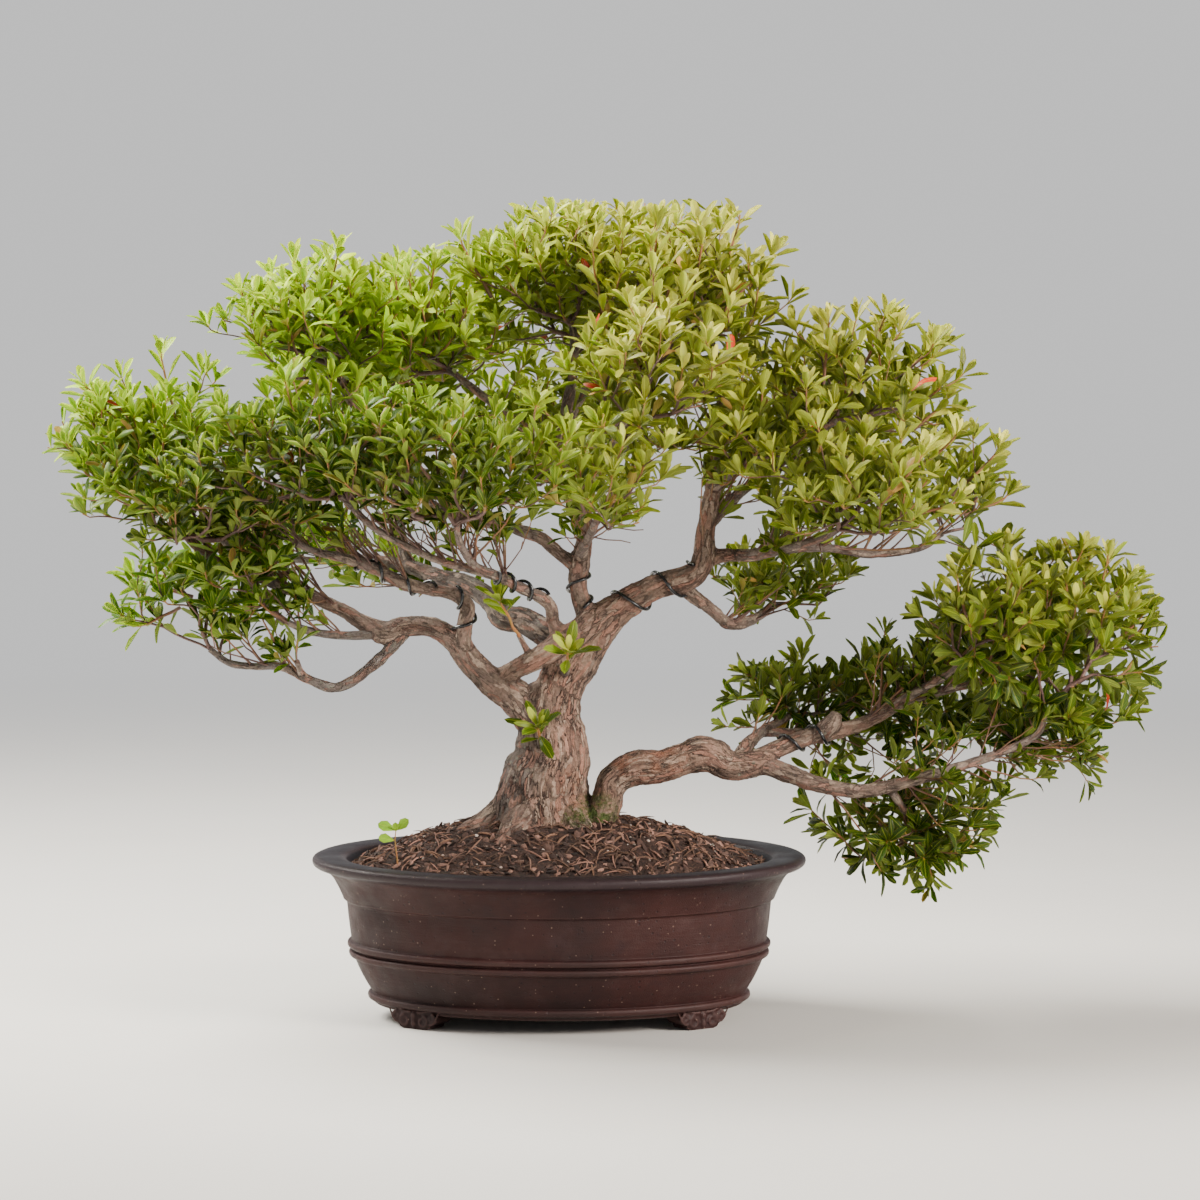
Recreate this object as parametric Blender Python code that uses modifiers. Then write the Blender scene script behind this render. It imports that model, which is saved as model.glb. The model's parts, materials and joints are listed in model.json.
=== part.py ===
"""A satsuki azalea trained as a bonsai, in an oval unglazed pot with four cloud feet.

Metres, +Z up, +Y away from the viewer, +X to the right. The plant is modelled round the middle of its pot and
then moved by STANDING_SHIFT, so that the origin is on the ground under the middle of the whole plant.
"""

import math
import random

import bmesh
import bpy
from mathutils import Matrix, Vector, noise
from mathutils.bvhtree import BVHTree

MM = 0.001
GAP = 0.3 * MM
WELD = 0.001 * MM
SHARP_ANGLE = math.radians(40.0)
STANDING_SHIFT = Vector((-44.5, -14.5, 0.0)) * MM

# Pot
LIP_HALF_LENGTH = 223.5 * MM
LESS_DEEP = 53.0 * MM
POT_SIDES = 32
FLOOR_HALF_LENGTH = 146.0 * MM
FLOOR_TOP = 24.0 * MM
FLOOR_UNDERSIDE = 12.0 * MM
FOOT_X = 123.0 * MM
FOOT_Y = 66.0 * MM
FOOT_TURN = math.radians(36.0)
FOOT_HALF_DEPTH = 12.0 * MM
DRAIN_X = 70.0 * MM
DRAIN_RADIUS = 11.0 * MM
SCREEN_SIDE = 38.0 * MM
SCREEN_THICK = 1.5 * MM
SCREEN_HOLES = 2
SCREEN_HOLE_SIDE = 11.0 * MM

# Growing medium
MULCH_SIDES = 24
MULCH_THICK = 14.0 * MM
MULCH_EDGE = 127.0 * MM
WALL_CLEARANCE = 2.2 * MM
MULCH_LUMP = 2.5 * MM
MULCH_LUMP_SPACING = 22.0 * MM

# Limbs
EIGHT_SIDED_ABOVE = 16.0 * MM
SIX_SIDED_ABOVE = 8.7 * MM

# Leaves
SEED = 41
LEAF_LENGTH = 36.0 * MM
LEAF_HALF_WIDTH = 7.6 * MM
LEAF_THICK = 3.0 * MM
LEAVES_PER_WHORL = 6
LEAF_LENGTH_SPREAD = (0.86, 1.08)
LEAF_RISE = (math.radians(14.0), math.radians(48.0))
LEAF_WIDEST_AT = 0.62
LEAF_WIDEST_LIFT = 0.66
LEAF_ROOT_AT = 0.15
LEAF_ROOT_LIFT = 0.08
TWIG_RADIUS = 1.5 * MM
HEAD_INSET = 26.0 * MM
WHORL_NECK = 13.0 * MM
WHORL_UPRIGHT = Vector((0.0, 0.0, 0.9))
TWIG_SIDES = 3
CROWN_DEPTH = 1.45
GOLDEN_ANGLE = math.pi * (3.0 - math.sqrt(5.0))
STEM_UNDER_LEAVES = 0.35
PULLS = (0.0, 0.12, 0.25, 0.4)
SHORTENINGS = (1.0, 0.85, 0.7)
TURNS_TRIED = 4
OFF_AXIS = Vector((0.31, 0.95, 0.05))
SHOOT_LEAN = Vector((0.0, -0.5, 0.3))
SHOOT_TIP = 4.0 * MM

# Training wire
WIRE_RADIUS = 1.25 * MM
WIRE_CLEARANCE = 0.9 * MM
WIRE_POINTS_PER_TURN = 8
WIRE_SIDES = 4

# The pot's section as (inset from the lip's half-length, height) in mm: up the inside, over the lip, down the
# cove, the belly and its two beads, and the bead at the foot.
POT_SECTION = [
    (65.5, 30.0), (55.5, 46.0), (47.5, 68.0), (43.5, 92.0), (40.0, 122.0), (32.5, 142.0),
    (29.5, 147.0), (8.0, 148.0), (2.0, 146.8), (0.0, 143.0), (2.0, 138.6), (9.0, 136.5),
    (18.0, 131.0), (25.0, 119.0), (29.5, 108.0), (32.0, 105.0), (33.5, 90.0), (35.5, 71.0),
    (32.8, 68.5), (33.0, 65.5), (36.2, 63.2), (34.2, 60.6), (34.6, 57.4), (38.0, 55.0),
    (45.5, 38.0), (53.0, 24.0), (54.0, 20.0), (55.5, 13.5), (69.5, 12.0),
]

# Half of a cloud foot seen from the front, as (sideways, height) in mm, from its flat bottom to its root.
FOOT_OUTLINE = [
    (13.0, 0.0), (17.0, 1.5), (18.0, 5.0), (21.5, 5.5), (25.0, 8.5), (25.0, 12.5), (22.0, 14.5), (22.0, 17.0),
]

# The mulch's top as (half-length, height) in mm, from the trunk out to the pot's wall.
MULCH_TOP = [(0.0, 183.0), (45.0, 181.0), (85.0, 175.0), (120.0, 166.0), (150.0, 154.0), (175.0, 143.0)]
MULCH_RIM = (186.0, 139.5)

# Limbs: a name, and the points (x, y, z, radius) in mm from the middle of the pot, in order from the root.
LIMBS = {
    "trunk": [
        (-12, 0, 118, 40), (-12, 0, 150, 47), (-11, 0, 178, 45), (-13, 0, 198, 41), (-12, 0, 216, 40),
        (-7, 0, 234, 35), (-7, 0, 253, 32), (-8, 0, 272, 28), (-7, 0, 286, 27), (-4, 0, 299, 22),
    ],
    "left_root": [
        (-14, 0, 206, 26), (-40, -6, 190, 21), (-62, -10, 177, 15), (-86, -14, 166, 10), (-108, -18, 152, 5),
    ],
    "front_left_root": [(-16, -8, 200, 24), (-34, -36, 184, 17), (-52, -62, 170, 10), (-68, -84, 154, 5)],
    "front_right_root": [(-4, -10, 196, 24), (16, -40, 182, 15), (30, -66, 168, 9), (42, -86, 153, 5)],
    "back_root": [(-12, 8, 200, 25), (-16, 44, 184, 16), (-16, 76, 168, 10), (-14, 100, 152, 5)],
    "right_root": [(0, 4, 192, 24), (34, 10, 180, 17), (66, 14, 169, 10), (92, 16, 153, 5)],
    "low_right": [
        (14, -10, 158, 17), (34, -12, 176, 15), (43, -12, 197, 14), (49, -12, 215, 15), (68, -12, 227, 16),
        (91, -13, 229, 15), (112, -14, 236, 15), (127, -14, 240, 17), (139, -15, 238, 16), (152, -15, 230, 14),
        (168, -16, 230, 13), (187, -17, 233, 10),
    ],
    "low_right_lower": [
        (183, -18, 232, 9), (211, -26, 222, 8.5), (229, -32, 216, 7.5), (253, -36, 211, 7), (277, -38, 210, 6.5),
        (316, -40, 219, 5.5), (350, -40, 229, 4.8), (393, -37, 243, 4), (427, -32, 259, 3.2), (436, -30, 277, 2.8),
    ],
    "low_right_upper": [
        (178, -12, 236, 9), (205, -6, 247, 8), (229, -2, 255, 8), (258, 2, 261, 7), (277, 4, 267, 6),
        (311, 6, 284, 5), (335, 4, 293, 4.5), (386, 0, 306, 3.5), (412, -2, 318, 3),
    ],
    "low_right_knob": [(232, -2, 254, 9), (246, -6, 268, 8), (250, -8, 276, 5)],
    "low_right_middle": [(300, 4, 279, 4.5), (322, -16, 297, 3.8), (345, -34, 312, 3), (362, -44, 328, 2.6)],
    "low_right_under": [(385, -38, 240, 3.6), (408, -14, 247, 3), (424, 12, 252, 2.6)],
    "low_right_hanging": [(296, -39, 213, 4.5), (306, -30, 197, 3.6), (318, -12, 180, 3), (324, -2, 168, 2.6)],
    "low_right_rear": [(160, -12, 232, 8), (172, 20, 246, 6), (190, 56, 256, 4.6), (212, 88, 264, 3.2)],
    "low_right_back": [(184, 46, 253, 4.6), (222, 72, 250, 4), (266, 98, 248, 3.4), (304, 112, 252, 2.8)],
    "right_limb": [
        (-4, 0, 284, 22), (0, 0, 297, 22), (5, 0, 310, 22), (14, 2, 324, 23), (26, 3, 342, 21), (40, 4, 358, 18),
        (53, 5, 369, 15), (73, 5, 382, 13), (91, 4, 391, 12), (111, 2, 396, 12), (126, 0, 405, 11),
        (131, -2, 423, 10), (132, -4, 441, 9), (140, -6, 486, 7.5), (147, -9, 531, 6.5), (145, -9, 576, 5),
        (136, -6, 612, 3.5),
    ],
    "mid_right_rear": [
        (108, 2, 392, 7), (125, 20, 377, 6.5), (138, 44, 366, 6), (152, 74, 351, 6), (167, 100, 348, 5.5),
        (184, 128, 352, 4.5), (198, 150, 362, 3.2),
    ],
    "right_level": [
        (128, 0, 414, 8), (149, 2, 418, 6.5), (176, 8, 418, 5.5), (208, 16, 423, 4.5), (244, 24, 423, 4),
        (280, 34, 417, 4), (325, 44, 421, 3.4), (348, 52, 434, 2.8),
    ],
    "right_front": [
        (160, 5, 418, 5.5), (180, -24, 422, 5), (206, -58, 430, 4.2), (232, -88, 440, 3.4), (246, -104, 449, 2.8),
    ],
    "right_inner": [(137, -5, 478, 6), (150, -24, 491, 4.5), (163, -42, 504, 3)],
    "right_shoulder": [
        (140, -6, 484, 6.5), (160, -4, 498, 5.5), (184, -2, 510, 5), (217, 0, 522, 4.6), (250, 0, 540, 3.4),
    ],
    "right_back": [
        (133, -4, 446, 7), (146, 30, 456, 6), (165, 74, 470, 5), (190, 120, 484, 4), (212, 150, 496, 3),
    ],
    "central": [
        (22, 0, 344, 13), (27, 2, 360, 11), (21, 3, 375, 8.5), (17, 4, 392, 8.5), (19, 5, 412, 9),
        (23, 6, 432, 7.5), (19, 6, 452, 7), (10, 7, 478, 6.5), (1, 8, 509, 6), (5, 10, 540, 5.5),
        (12, 14, 576, 4.6), (14, 18, 612, 4), (9, 20, 634, 3),
    ],
    "apex_front": [(16, 6, 462, 5.5), (26, -22, 484, 4.6), (44, -62, 514, 3.8), (60, -92, 546, 3)],
    "apex_shoot": [(12, 7, 470, 5), (40, -14, 500, 4.2), (60, -40, 520, 3.6), (70, -52, 536, 3)],
    "apex_back": [(3, 9, 528, 5), (18, 44, 556, 4.4), (36, 84, 586, 3.8), (50, 118, 614, 3)],
    "left_inner": [
        (2, 8, 504, 5.5), (-24, 10, 527, 5), (-55, 12, 551, 4.2), (-84, 16, 573, 3.5), (-100, 18, 586, 2.8),
    ],
    "centre_low_front": [
        (20, 4, 416, 6), (22, -32, 428, 5), (28, -76, 442, 4), (33, -116, 456, 3.4), (35, -140, 464, 2.8),
    ],
    "back_middle": [
        (23, 6, 436, 6.5), (20, 46, 446, 5.5), (14, 98, 460, 4.6), (8, 150, 474, 3.8), (4, 186, 486, 3),
    ],
    "crown_left": [
        (18, 4, 406, 6), (-5, 8, 424, 6), (-18, 10, 434, 5.5), (-50, 12, 444, 5), (-82, 14, 450, 4.6),
        (-118, 14, 466, 4.2), (-150, 12, 502, 3.8), (-180, 8, 544, 3.4), (-200, 4, 578, 2.8),
    ],
    "front_left": [
        (0, -4, 350, 8), (-5, -18, 360, 6), (-7, -28, 374, 5.8), (-16, -42, 384, 5.5), (-35, -62, 395, 5),
        (-52, -84, 406, 4.5), (-72, -116, 418, 3.8), (-84, -144, 438, 3.2), (-88, -164, 458, 2.8),
    ],
    "front_far_left": [
        (-50, -82, 405, 4.5), (-72, -92, 412, 4), (-98, -98, 419, 3.6), (-128, -104, 432, 3.4),
        (-162, -112, 452, 3.2), (-190, -120, 480, 2.8),
    ],
    "cross_limb": [
        (-52, -8, 308, 9), (-35, -18, 319, 9), (-17, -22, 329, 10), (1, -20, 341, 11), (18, -10, 352, 11),
        (32, 0, 362, 11),
    ],
    "rear_left": [
        (12, 4, 334, 13), (-8, 14, 344, 13), (-31, 28, 356, 12.5), (-49, 38, 358, 12), (-62, 50, 373, 10.5),
        (-80, 64, 384, 10), (-100, 80, 389, 9), (-118, 96, 393, 7.5), (-142, 110, 400, 6.5), (-180, 122, 405, 5),
        (-224, 132, 403, 4), (-248, 137, 404, 3),
    ],
    "rear_under": [(-112, 92, 391, 6), (-120, 112, 384, 4.6), (-124, 130, 378, 3)],
    "crown_back": [
        (-140, 109, 399, 6), (-147, 124, 430, 5), (-153, 140, 470, 4.4), (-160, 156, 512, 3.6),
        (-165, 168, 538, 2.8),
    ],
    "left_stem": [
        (-10, 0, 258, 22), (-26, -3, 275, 18), (-36, -5, 288, 16), (-46, -7, 296, 15), (-62, -8, 306, 13.5),
        (-76, -8, 319, 12), (-87, -8, 333, 11), (-98, -6, 345, 10), (-116, -4, 354, 9.5), (-139, 0, 354, 10),
        (-157, 2, 348, 11), (-178, 2, 358, 7.5), (-194, 4, 368, 6.5), (-218, 6, 379, 6), (-240, 8, 386, 5.5),
        (-273, 8, 398, 4.2), (-300, 4, 406, 3.6), (-328, -4, 428, 3.2), (-350, -10, 456, 2.8),
    ],
    "left_middle": [(-252, 8, 390, 4.4), (-268, -20, 404, 3.8), (-286, -50, 422, 3.2), (-298, -70, 438, 2.8)],
    "left_wired": [
        (-80, -8, 324, 8), (-86, -12, 342, 8), (-84, -14, 360, 7.5), (-82, -16, 374, 7), (-94, -21, 385, 6.2),
        (-116, -27, 390, 6), (-139, -33, 396, 6), (-161, -41, 408, 5.5), (-188, -50, 419, 4.6),
        (-214, -60, 426, 3.8), (-232, -68, 434, 3),
    ],
    "left_drooping": [
        (-140, 0, 350, 8), (-149, -2, 338, 6), (-160, -4, 326, 5.5), (-172, -7, 316, 5), (-187, -10, 305, 4.6),
        (-204, -12, 300, 4.5), (-228, -14, 309, 4.2), (-249, -14, 319, 3.8), (-272, -12, 319, 3.5),
        (-296, -10, 322, 3.2), (-314, -6, 334, 2.8),
    ],
    "left_low_thin": [
        (-162, 0, 347, 5), (-192, -12, 347, 4), (-220, -20, 351, 3.7), (-243, -23, 360, 3.3), (-262, -23, 374, 2.8),
    ],
    "droop_twig": [(-231, -14, 311, 3.2), (-234, -36, 326, 2.6)],
    "low_shoot": [(-14, -20, 246, 6), (-16, -39, 256, 3), (-17, -46, 262, 2.4)],
    "high_shoot": [(4, -10, 312, 6), (7, -31, 318, 3), (8, -38, 325, 2.4)],
    "left_shoot": [(-22, -8, 322, 6), (-30, -26, 338, 3), (-36, -30, 350, 2.4)],
}

# Sprays: a name, its limb, the middle and the half-sizes of its cloud of leaves in mm, and its whorls.
SPRAYS = [
    ("low_right_outer", "low_right_lower", (466, -10, 350), (78, 78, 56), 5),
    ("low_right_top", "low_right_upper", (430, 20, 372), (60, 60, 45), 4),
    ("low_right_front", "low_right_middle", (372, -58, 362), (56, 56, 42), 4),
    ("low_right_under", "low_right_under", (438, 36, 274), (60, 60, 38), 4),
    ("low_right_hanging", "low_right_hanging", (329, 14, 172), (68, 62, 42), 4),
    ("low_right_rear", "low_right_rear", (232, 112, 284), (70, 58, 38), 3),
    ("low_right_back", "low_right_back", (334, 122, 268), (66, 56, 42), 3),
    ("mid_right_rear", "mid_right_rear", (212, 170, 388), (80, 66, 32), 3),
    ("right_tip", "right_level", (362, 62, 470), (46, 58, 50), 4),
    ("right_shoulder", "right_shoulder", (275, 0, 580), (82, 82, 54), 5),
    ("right_front", "right_front", (262, -122, 480), (82, 72, 50), 5),
    ("right_inner", "right_inner", (178, -60, 536), (56, 60, 50), 3),
    ("right_back", "right_back", (238, 178, 524), (84, 78, 58), 4),
    ("apex_right", "right_limb", (128, 0, 664), (62, 76, 60), 4),
    ("apex_left", "central", (2, 24, 674), (78, 74, 54), 4),
    ("apex_front", "apex_front", (72, -124, 590), (70, 66, 64), 5),
    ("apex_back", "apex_back", (64, 150, 652), (96, 76, 66), 4),
    ("crown_left", "crown_left", (-222, 0, 626), (74, 80, 56), 5),
    ("crown_inner", "left_inner", (-116, 20, 618), (54, 66, 48), 4),
    ("crown_back", "crown_back", (-170, 182, 580), (98, 78, 58), 4),
    ("left_front", "front_far_left", (-214, -132, 524), (84, 70, 52), 5),
    ("centre_front", "front_left", (-90, -188, 508), (76, 66, 52), 4),
    ("far_left", "left_stem", (-378, -20, 522), (80, 76, 54), 5),
    ("left_middle", "left_middle", (-318, -94, 470), (74, 70, 44), 4),
    ("left_wired", "left_wired", (-264, -84, 470), (50, 60, 40), 3),
    ("left_low", "left_drooping", (-336, 0, 380), (58, 62, 48), 4),
    ("left_low_front", "left_low_thin", (-284, -36, 408), (46, 50, 34), 3),
    ("left_low_back", "rear_left", (-270, 142, 418), (82, 68, 42), 3),
    ("left_back_under", "rear_under", (-126, 150, 384), (56, 52, 26), 2),
    ("centre_low_front", "centre_low_front", (38, -168, 488), (60, 58, 44), 4),
    ("back_middle", "back_middle", (2, 226, 516), (98, 66, 58), 4),
    ("droop_twig", "droop_twig", (-239, -64, 350), (22, 22, 22), 1),
    ("apex_shoot", "apex_shoot", (82, -60, 640), (26, 26, 90), 3),
]

# Whorls that reach past their spray's cloud, as (x, y, z) in mm: the plant's outermost and topmost leaves.
REACHING_WHORLS = {
    "far_left": [(-432, -24, 512), (-392, -10, 580)],
    "low_right_outer": [(514, -8, 336), (470, -20, 398)],
    "apex_shoot": [(86, -62, 718)],
    "apex_right": [(150, 4, 716)],
    "low_right_hanging": [(343, 8, 146)],
}

# Young shoots on the trunk: a name, its limb and its whorl's place (x, y, z) in mm.
TRUNK_SHOOTS = [
    ("trunk_shoot_low", "low_shoot", (-18, -84, 272)),
    ("trunk_shoot_high", "high_shoot", (9, -72, 338)),
    ("trunk_shoot_left", "left_shoot", (-52, -62, 384)),
]

# Training wires: a name, its limb, where its coil starts and ends along the limb in mm, its turns and the
# angle of its first turn in degrees.
WIRES = [
    ("wire_left_stub", "left_wired", 30, 62, 2.0, 200),
    ("wire_left_branch", "left_wired", 96, 150, 2.5, 30),
    ("wire_front_branch", "front_left", 62, 108, 2.5, 60),
    ("wire_right_limb", "right_limb", 122, 176, 2.5, 250),
    ("wire_low_right", "low_right_upper", 27, 53, 2.0, 120),
    ("wire_central", "central", 33, 53, 1.5, 0),
]

# The limbs that go down into the mulch and soil.
BURIED_LIMBS = (
    "trunk", "left_root", "front_left_root", "front_right_root", "back_root", "right_root", "low_right",
)

# Colours and roughness.
LOOKS = {
    "pot": ((0.06, 0.025, 0.025), 0.55),
    "screen": ((0.02, 0.02, 0.02), 0.6),
    "soil": ((0.05, 0.03, 0.02), 0.9),
    "mulch": ((0.12, 0.06, 0.035), 0.9),
    "bark": ((0.28, 0.19, 0.14), 0.85),
    "wire": ((0.01, 0.012, 0.02), 0.3),
    "leaf": ((0.13, 0.25, 0.04), 0.45),
}


def millimetres(point):
    """Return a listed (x, y, z) in metres."""
    return Vector(point[:3]) * MM


def clear_scene():
    """Remove the scene's objects."""
    for existing in list(bpy.data.objects):
        bpy.data.objects.remove(existing)


def new_collection(name):
    """Make a collection in the scene."""
    collection = bpy.data.collections.new(name)
    bpy.context.scene.collection.children.link(collection)
    return collection


def painted(thing, look):
    """Give an object its own Principled BSDF and smooth shading between its sharp edges."""
    colour, roughness = LOOKS[look]
    material = bpy.data.materials.new(thing.name + "_" + look)
    material.use_nodes = True
    shader = material.node_tree.nodes["Principled BSDF"]
    shader.inputs["Base Color"].default_value = (*colour, 1.0)
    shader.inputs["Roughness"].default_value = roughness
    shader.inputs["Metallic"].default_value = 0.0
    thing.data.materials.clear()
    thing.data.materials.append(material)
    thing.data.shade_smooth()
    thing.data.set_sharp_from_angle(angle=SHARP_ANGLE)
    return thing


def add_object(name, mesh, collection):
    """Put a mesh in the scene."""
    thing = bpy.data.objects.new(name, mesh)
    collection.objects.link(thing)
    return thing


def evaluated_mesh(thing):
    """Return the object's mesh with its modifiers applied, in the scene's space."""
    bpy.context.view_layer.update()
    mesh = bpy.data.meshes.new_from_object(thing.evaluated_get(bpy.context.evaluated_depsgraph_get()))
    mesh.transform(thing.matrix_world)
    return mesh


def weld_mesh(mesh, distance=WELD):
    """Join the mesh's vertices that lie on each other and face it outwards."""
    shape = bmesh.new()
    shape.from_mesh(mesh)
    bmesh.ops.remove_doubles(shape, verts=shape.verts, dist=distance)
    bmesh.ops.recalc_face_normals(shape, faces=shape.faces)
    shape.to_mesh(mesh)
    shape.free()


def settle(thing, collection):
    """Swap an object for a plain mesh object of its evaluated shape."""
    name = thing.name
    mesh = evaluated_mesh(thing)
    weld_mesh(mesh)
    thing.name = name + "_source"
    bpy.data.objects.remove(thing)
    return add_object(name, mesh, collection)


def boolean(thing, operation, cutters, collection, solver="EXACT"):
    """Join to a shape, or cut from it, all the shapes in a collection, and drop those shapes."""
    if not cutters.objects:
        return thing
    modifier = thing.modifiers.new(operation.lower(), "BOOLEAN")
    modifier.operation = operation
    modifier.solver = solver
    modifier.operand_type = "COLLECTION"
    modifier.collection = cutters
    result = settle(thing, collection)
    for cutter in list(cutters.objects):
        bpy.data.objects.remove(cutter)
    return result


def tube(name, points, radii, sides, collection):
    """Sweep a round section along points, with closed ends."""
    curve = bpy.data.curves.new(name, "CURVE")
    curve.dimensions = "3D"
    curve.fill_mode = "FULL"
    curve.use_fill_caps = True
    curve.bevel_depth = MM
    curve.bevel_resolution = sides // 2 - 2
    spline = curve.splines.new("POLY")
    spline.points.add(len(points) - 1)
    for slot, point, radius in zip(spline.points, points, radii):
        slot.co = (*point, 1.0)
        slot.radius = radius / MM
    return settle(add_object(name, curve, collection), collection)


def limb_sides(radius):
    """Choose how many sides a limb's section has."""
    if radius > EIGHT_SIDED_ABOVE:
        return 8
    if radius > SIX_SIDED_ABOVE:
        return 6
    return 4


def limb_tube(name, collection, thicker=0.0):
    """Build one limb from its list, or its hole when it is thicker."""
    points = [millimetres(listed) for listed in LIMBS[name]]
    radii = [listed[3] * MM + thicker for listed in LIMBS[name]]
    if thicker:
        points[0] = points[0] - (points[1] - points[0]).normalized() * thicker
        points[-1] = points[-1] + (points[-1] - points[-2]).normalized() * thicker
    return tube(name, points, radii, limb_sides(max(radii) - thicker), collection)


def oval_ratio(half_length):
    """Return the pot's half-depth over its half-length for a ring of that half-length."""
    reach = max(half_length, FLOOR_HALF_LENGTH)
    return (reach - LESS_DEEP) / reach


def oval_turned(name, section, sides, collection):
    """Turn a section of (half-length, height) round the upright axis and narrow it to the pot's oval."""
    profile = bpy.data.meshes.new(name)
    rows = [(half_length, 0.0, height) for half_length, height in section]
    profile.from_pydata(rows, [(row, row + 1) for row in range(len(rows) - 1)], [])
    turned = add_object(name, profile, collection)
    screw = turned.modifiers.new("turn", "SCREW")
    screw.steps = sides
    screw.render_steps = sides
    screw.use_merge_vertices = True
    screw.merge_threshold = 0.01 * MM
    turned = settle(turned, collection)
    for vertex in turned.data.vertices:
        vertex.co.y *= oval_ratio(math.hypot(vertex.co.x, vertex.co.y))
    return turned


def cylinder(name, radius, low, high, place, collection):
    """An upright cylinder between two heights."""
    shape = bmesh.new()
    bmesh.ops.create_cone(shape, cap_ends=True, segments=16, radius1=radius, radius2=radius, depth=high - low)
    bmesh.ops.translate(shape, verts=shape.verts, vec=(place[0], place[1], (low + high) / 2))
    mesh = bpy.data.meshes.new(name)
    shape.to_mesh(mesh)
    shape.free()
    return add_object(name, mesh, collection)


def box(name, size, middle, collection):
    """A box of that size round its middle."""
    shape = bmesh.new()
    bmesh.ops.create_cube(shape, size=1.0)
    bmesh.ops.scale(shape, verts=shape.verts, vec=size)
    bmesh.ops.translate(shape, verts=shape.verts, vec=middle)
    mesh = bpy.data.meshes.new(name)
    shape.to_mesh(mesh)
    shape.free()
    return add_object(name, mesh, collection)


def cloud_foot(side, end, collection):
    """One foot: a scalloped outline, extruded and turned to face out along the oval."""
    right = [(across * MM, height * MM) for across, height in FOOT_OUTLINE]
    left = [(-across, height) for across, height in reversed(right)]
    curve = bpy.data.curves.new("foot", "CURVE")
    curve.dimensions = "2D"
    curve.fill_mode = "BOTH"
    curve.extrude = FOOT_HALF_DEPTH
    spline = curve.splines.new("POLY")
    spline.use_cyclic_u = True
    outline = right + left
    spline.points.add(len(outline) - 1)
    for slot, (across, height) in zip(spline.points, outline):
        slot.co = (across, height, 0.0, 1.0)
    foot = add_object("foot", curve, collection)
    upright = Matrix.Rotation(math.radians(90.0), 4, "X")
    turned = Matrix.Rotation(-side * end * FOOT_TURN, 4, "Z")
    foot.matrix_world = Matrix.Translation((side * FOOT_X, end * FOOT_Y, 0.0)) @ turned @ upright
    return settle(foot, collection)


def build_pot(parts, cutters):
    """The pot: a turned oval with its beads, four feet joined on and two drain holes."""
    inside_floor = [(0.0, FLOOR_TOP), (FLOOR_HALF_LENGTH, FLOOR_TOP)]
    wall = [(LIP_HALF_LENGTH - inset * MM, height * MM) for inset, height in POT_SECTION]
    underside = [(0.0, FLOOR_UNDERSIDE)]
    pot = oval_turned("pot", inside_floor + wall + underside, POT_SIDES, parts)
    for side in (-1, 1):
        for end in (-1, 1):
            cloud_foot(side, end, cutters)
    pot = boolean(pot, "UNION", cutters, parts)
    for side in (-1, 1):
        cylinder("drain", DRAIN_RADIUS, 0.0, 2 * FLOOR_TOP, (side * DRAIN_X, 0.0), cutters)
    return boolean(pot, "DIFFERENCE", cutters, parts)


def build_screen(name, side, parts, cutters):
    """A square of plastic mesh on the pot's floor, over a drain hole."""
    height = FLOOR_TOP + GAP + SCREEN_THICK / 2
    screen = box(name, (SCREEN_SIDE, SCREEN_SIDE, SCREEN_THICK), (side * DRAIN_X, 0.0, height), parts)
    pitch = SCREEN_SIDE / SCREEN_HOLES
    hole_size = (SCREEN_HOLE_SIDE, SCREEN_HOLE_SIDE, 4 * SCREEN_THICK)
    for row in range(SCREEN_HOLES):
        for column in range(SCREEN_HOLES):
            x = side * DRAIN_X + (column - (SCREEN_HOLES - 1) / 2) * pitch
            y = (row - (SCREEN_HOLES - 1) / 2) * pitch
            box("hole", hole_size, (x, y, height), cutters)
    return boolean(screen, "DIFFERENCE", cutters, parts)


def inner_wall(height):
    """Return the half-length of the pot's inside at a height."""
    rows = [(FLOOR_HALF_LENGTH, FLOOR_TOP)]
    rows += [(LIP_HALF_LENGTH - inset * MM, level * MM) for inset, level in POT_SECTION[:6]]
    for (inner, low), (outer, high) in zip(rows, rows[1:]):
        if low <= height <= high:
            return inner + (outer - inner) * (height - low) / (high - low)
    return rows[-1][0]


def cut_root_holes(medium, parts, cutters):
    """Cut the trunk's and its roots' holes, with the gap that keeps wood and soil apart."""
    for name in BURIED_LIMBS:
        limb_tube(name, cutters, thicker=GAP)
    return boolean(medium, "DIFFERENCE", cutters, parts)


def build_soil(parts, cutters):
    """The soil: it fills the pot up to the mulch and is cut round the roots and over the screens."""
    top = [(half * MM, height * MM - MULCH_THICK) for half, height in MULCH_TOP]
    levels = [125.0 * MM, 92.0 * MM, 68.0 * MM, 46.0 * MM, 30.0 * MM, FLOOR_TOP + GAP]
    side = [(inner_wall(level) - WALL_CLEARANCE, level) for level in levels]
    soil = oval_turned("soil", top + side + [(0.0, FLOOR_TOP + GAP)], MULCH_SIDES, parts)
    for end in (-1, 1):
        pocket = SCREEN_SIDE + 2 * GAP
        box("pocket", (pocket, pocket, 2 * SCREEN_THICK + 4 * GAP), (end * DRAIN_X, 0.0, FLOOR_TOP), cutters)
    soil = boolean(soil, "DIFFERENCE", cutters, parts)
    return cut_root_holes(soil, parts, cutters)


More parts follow.
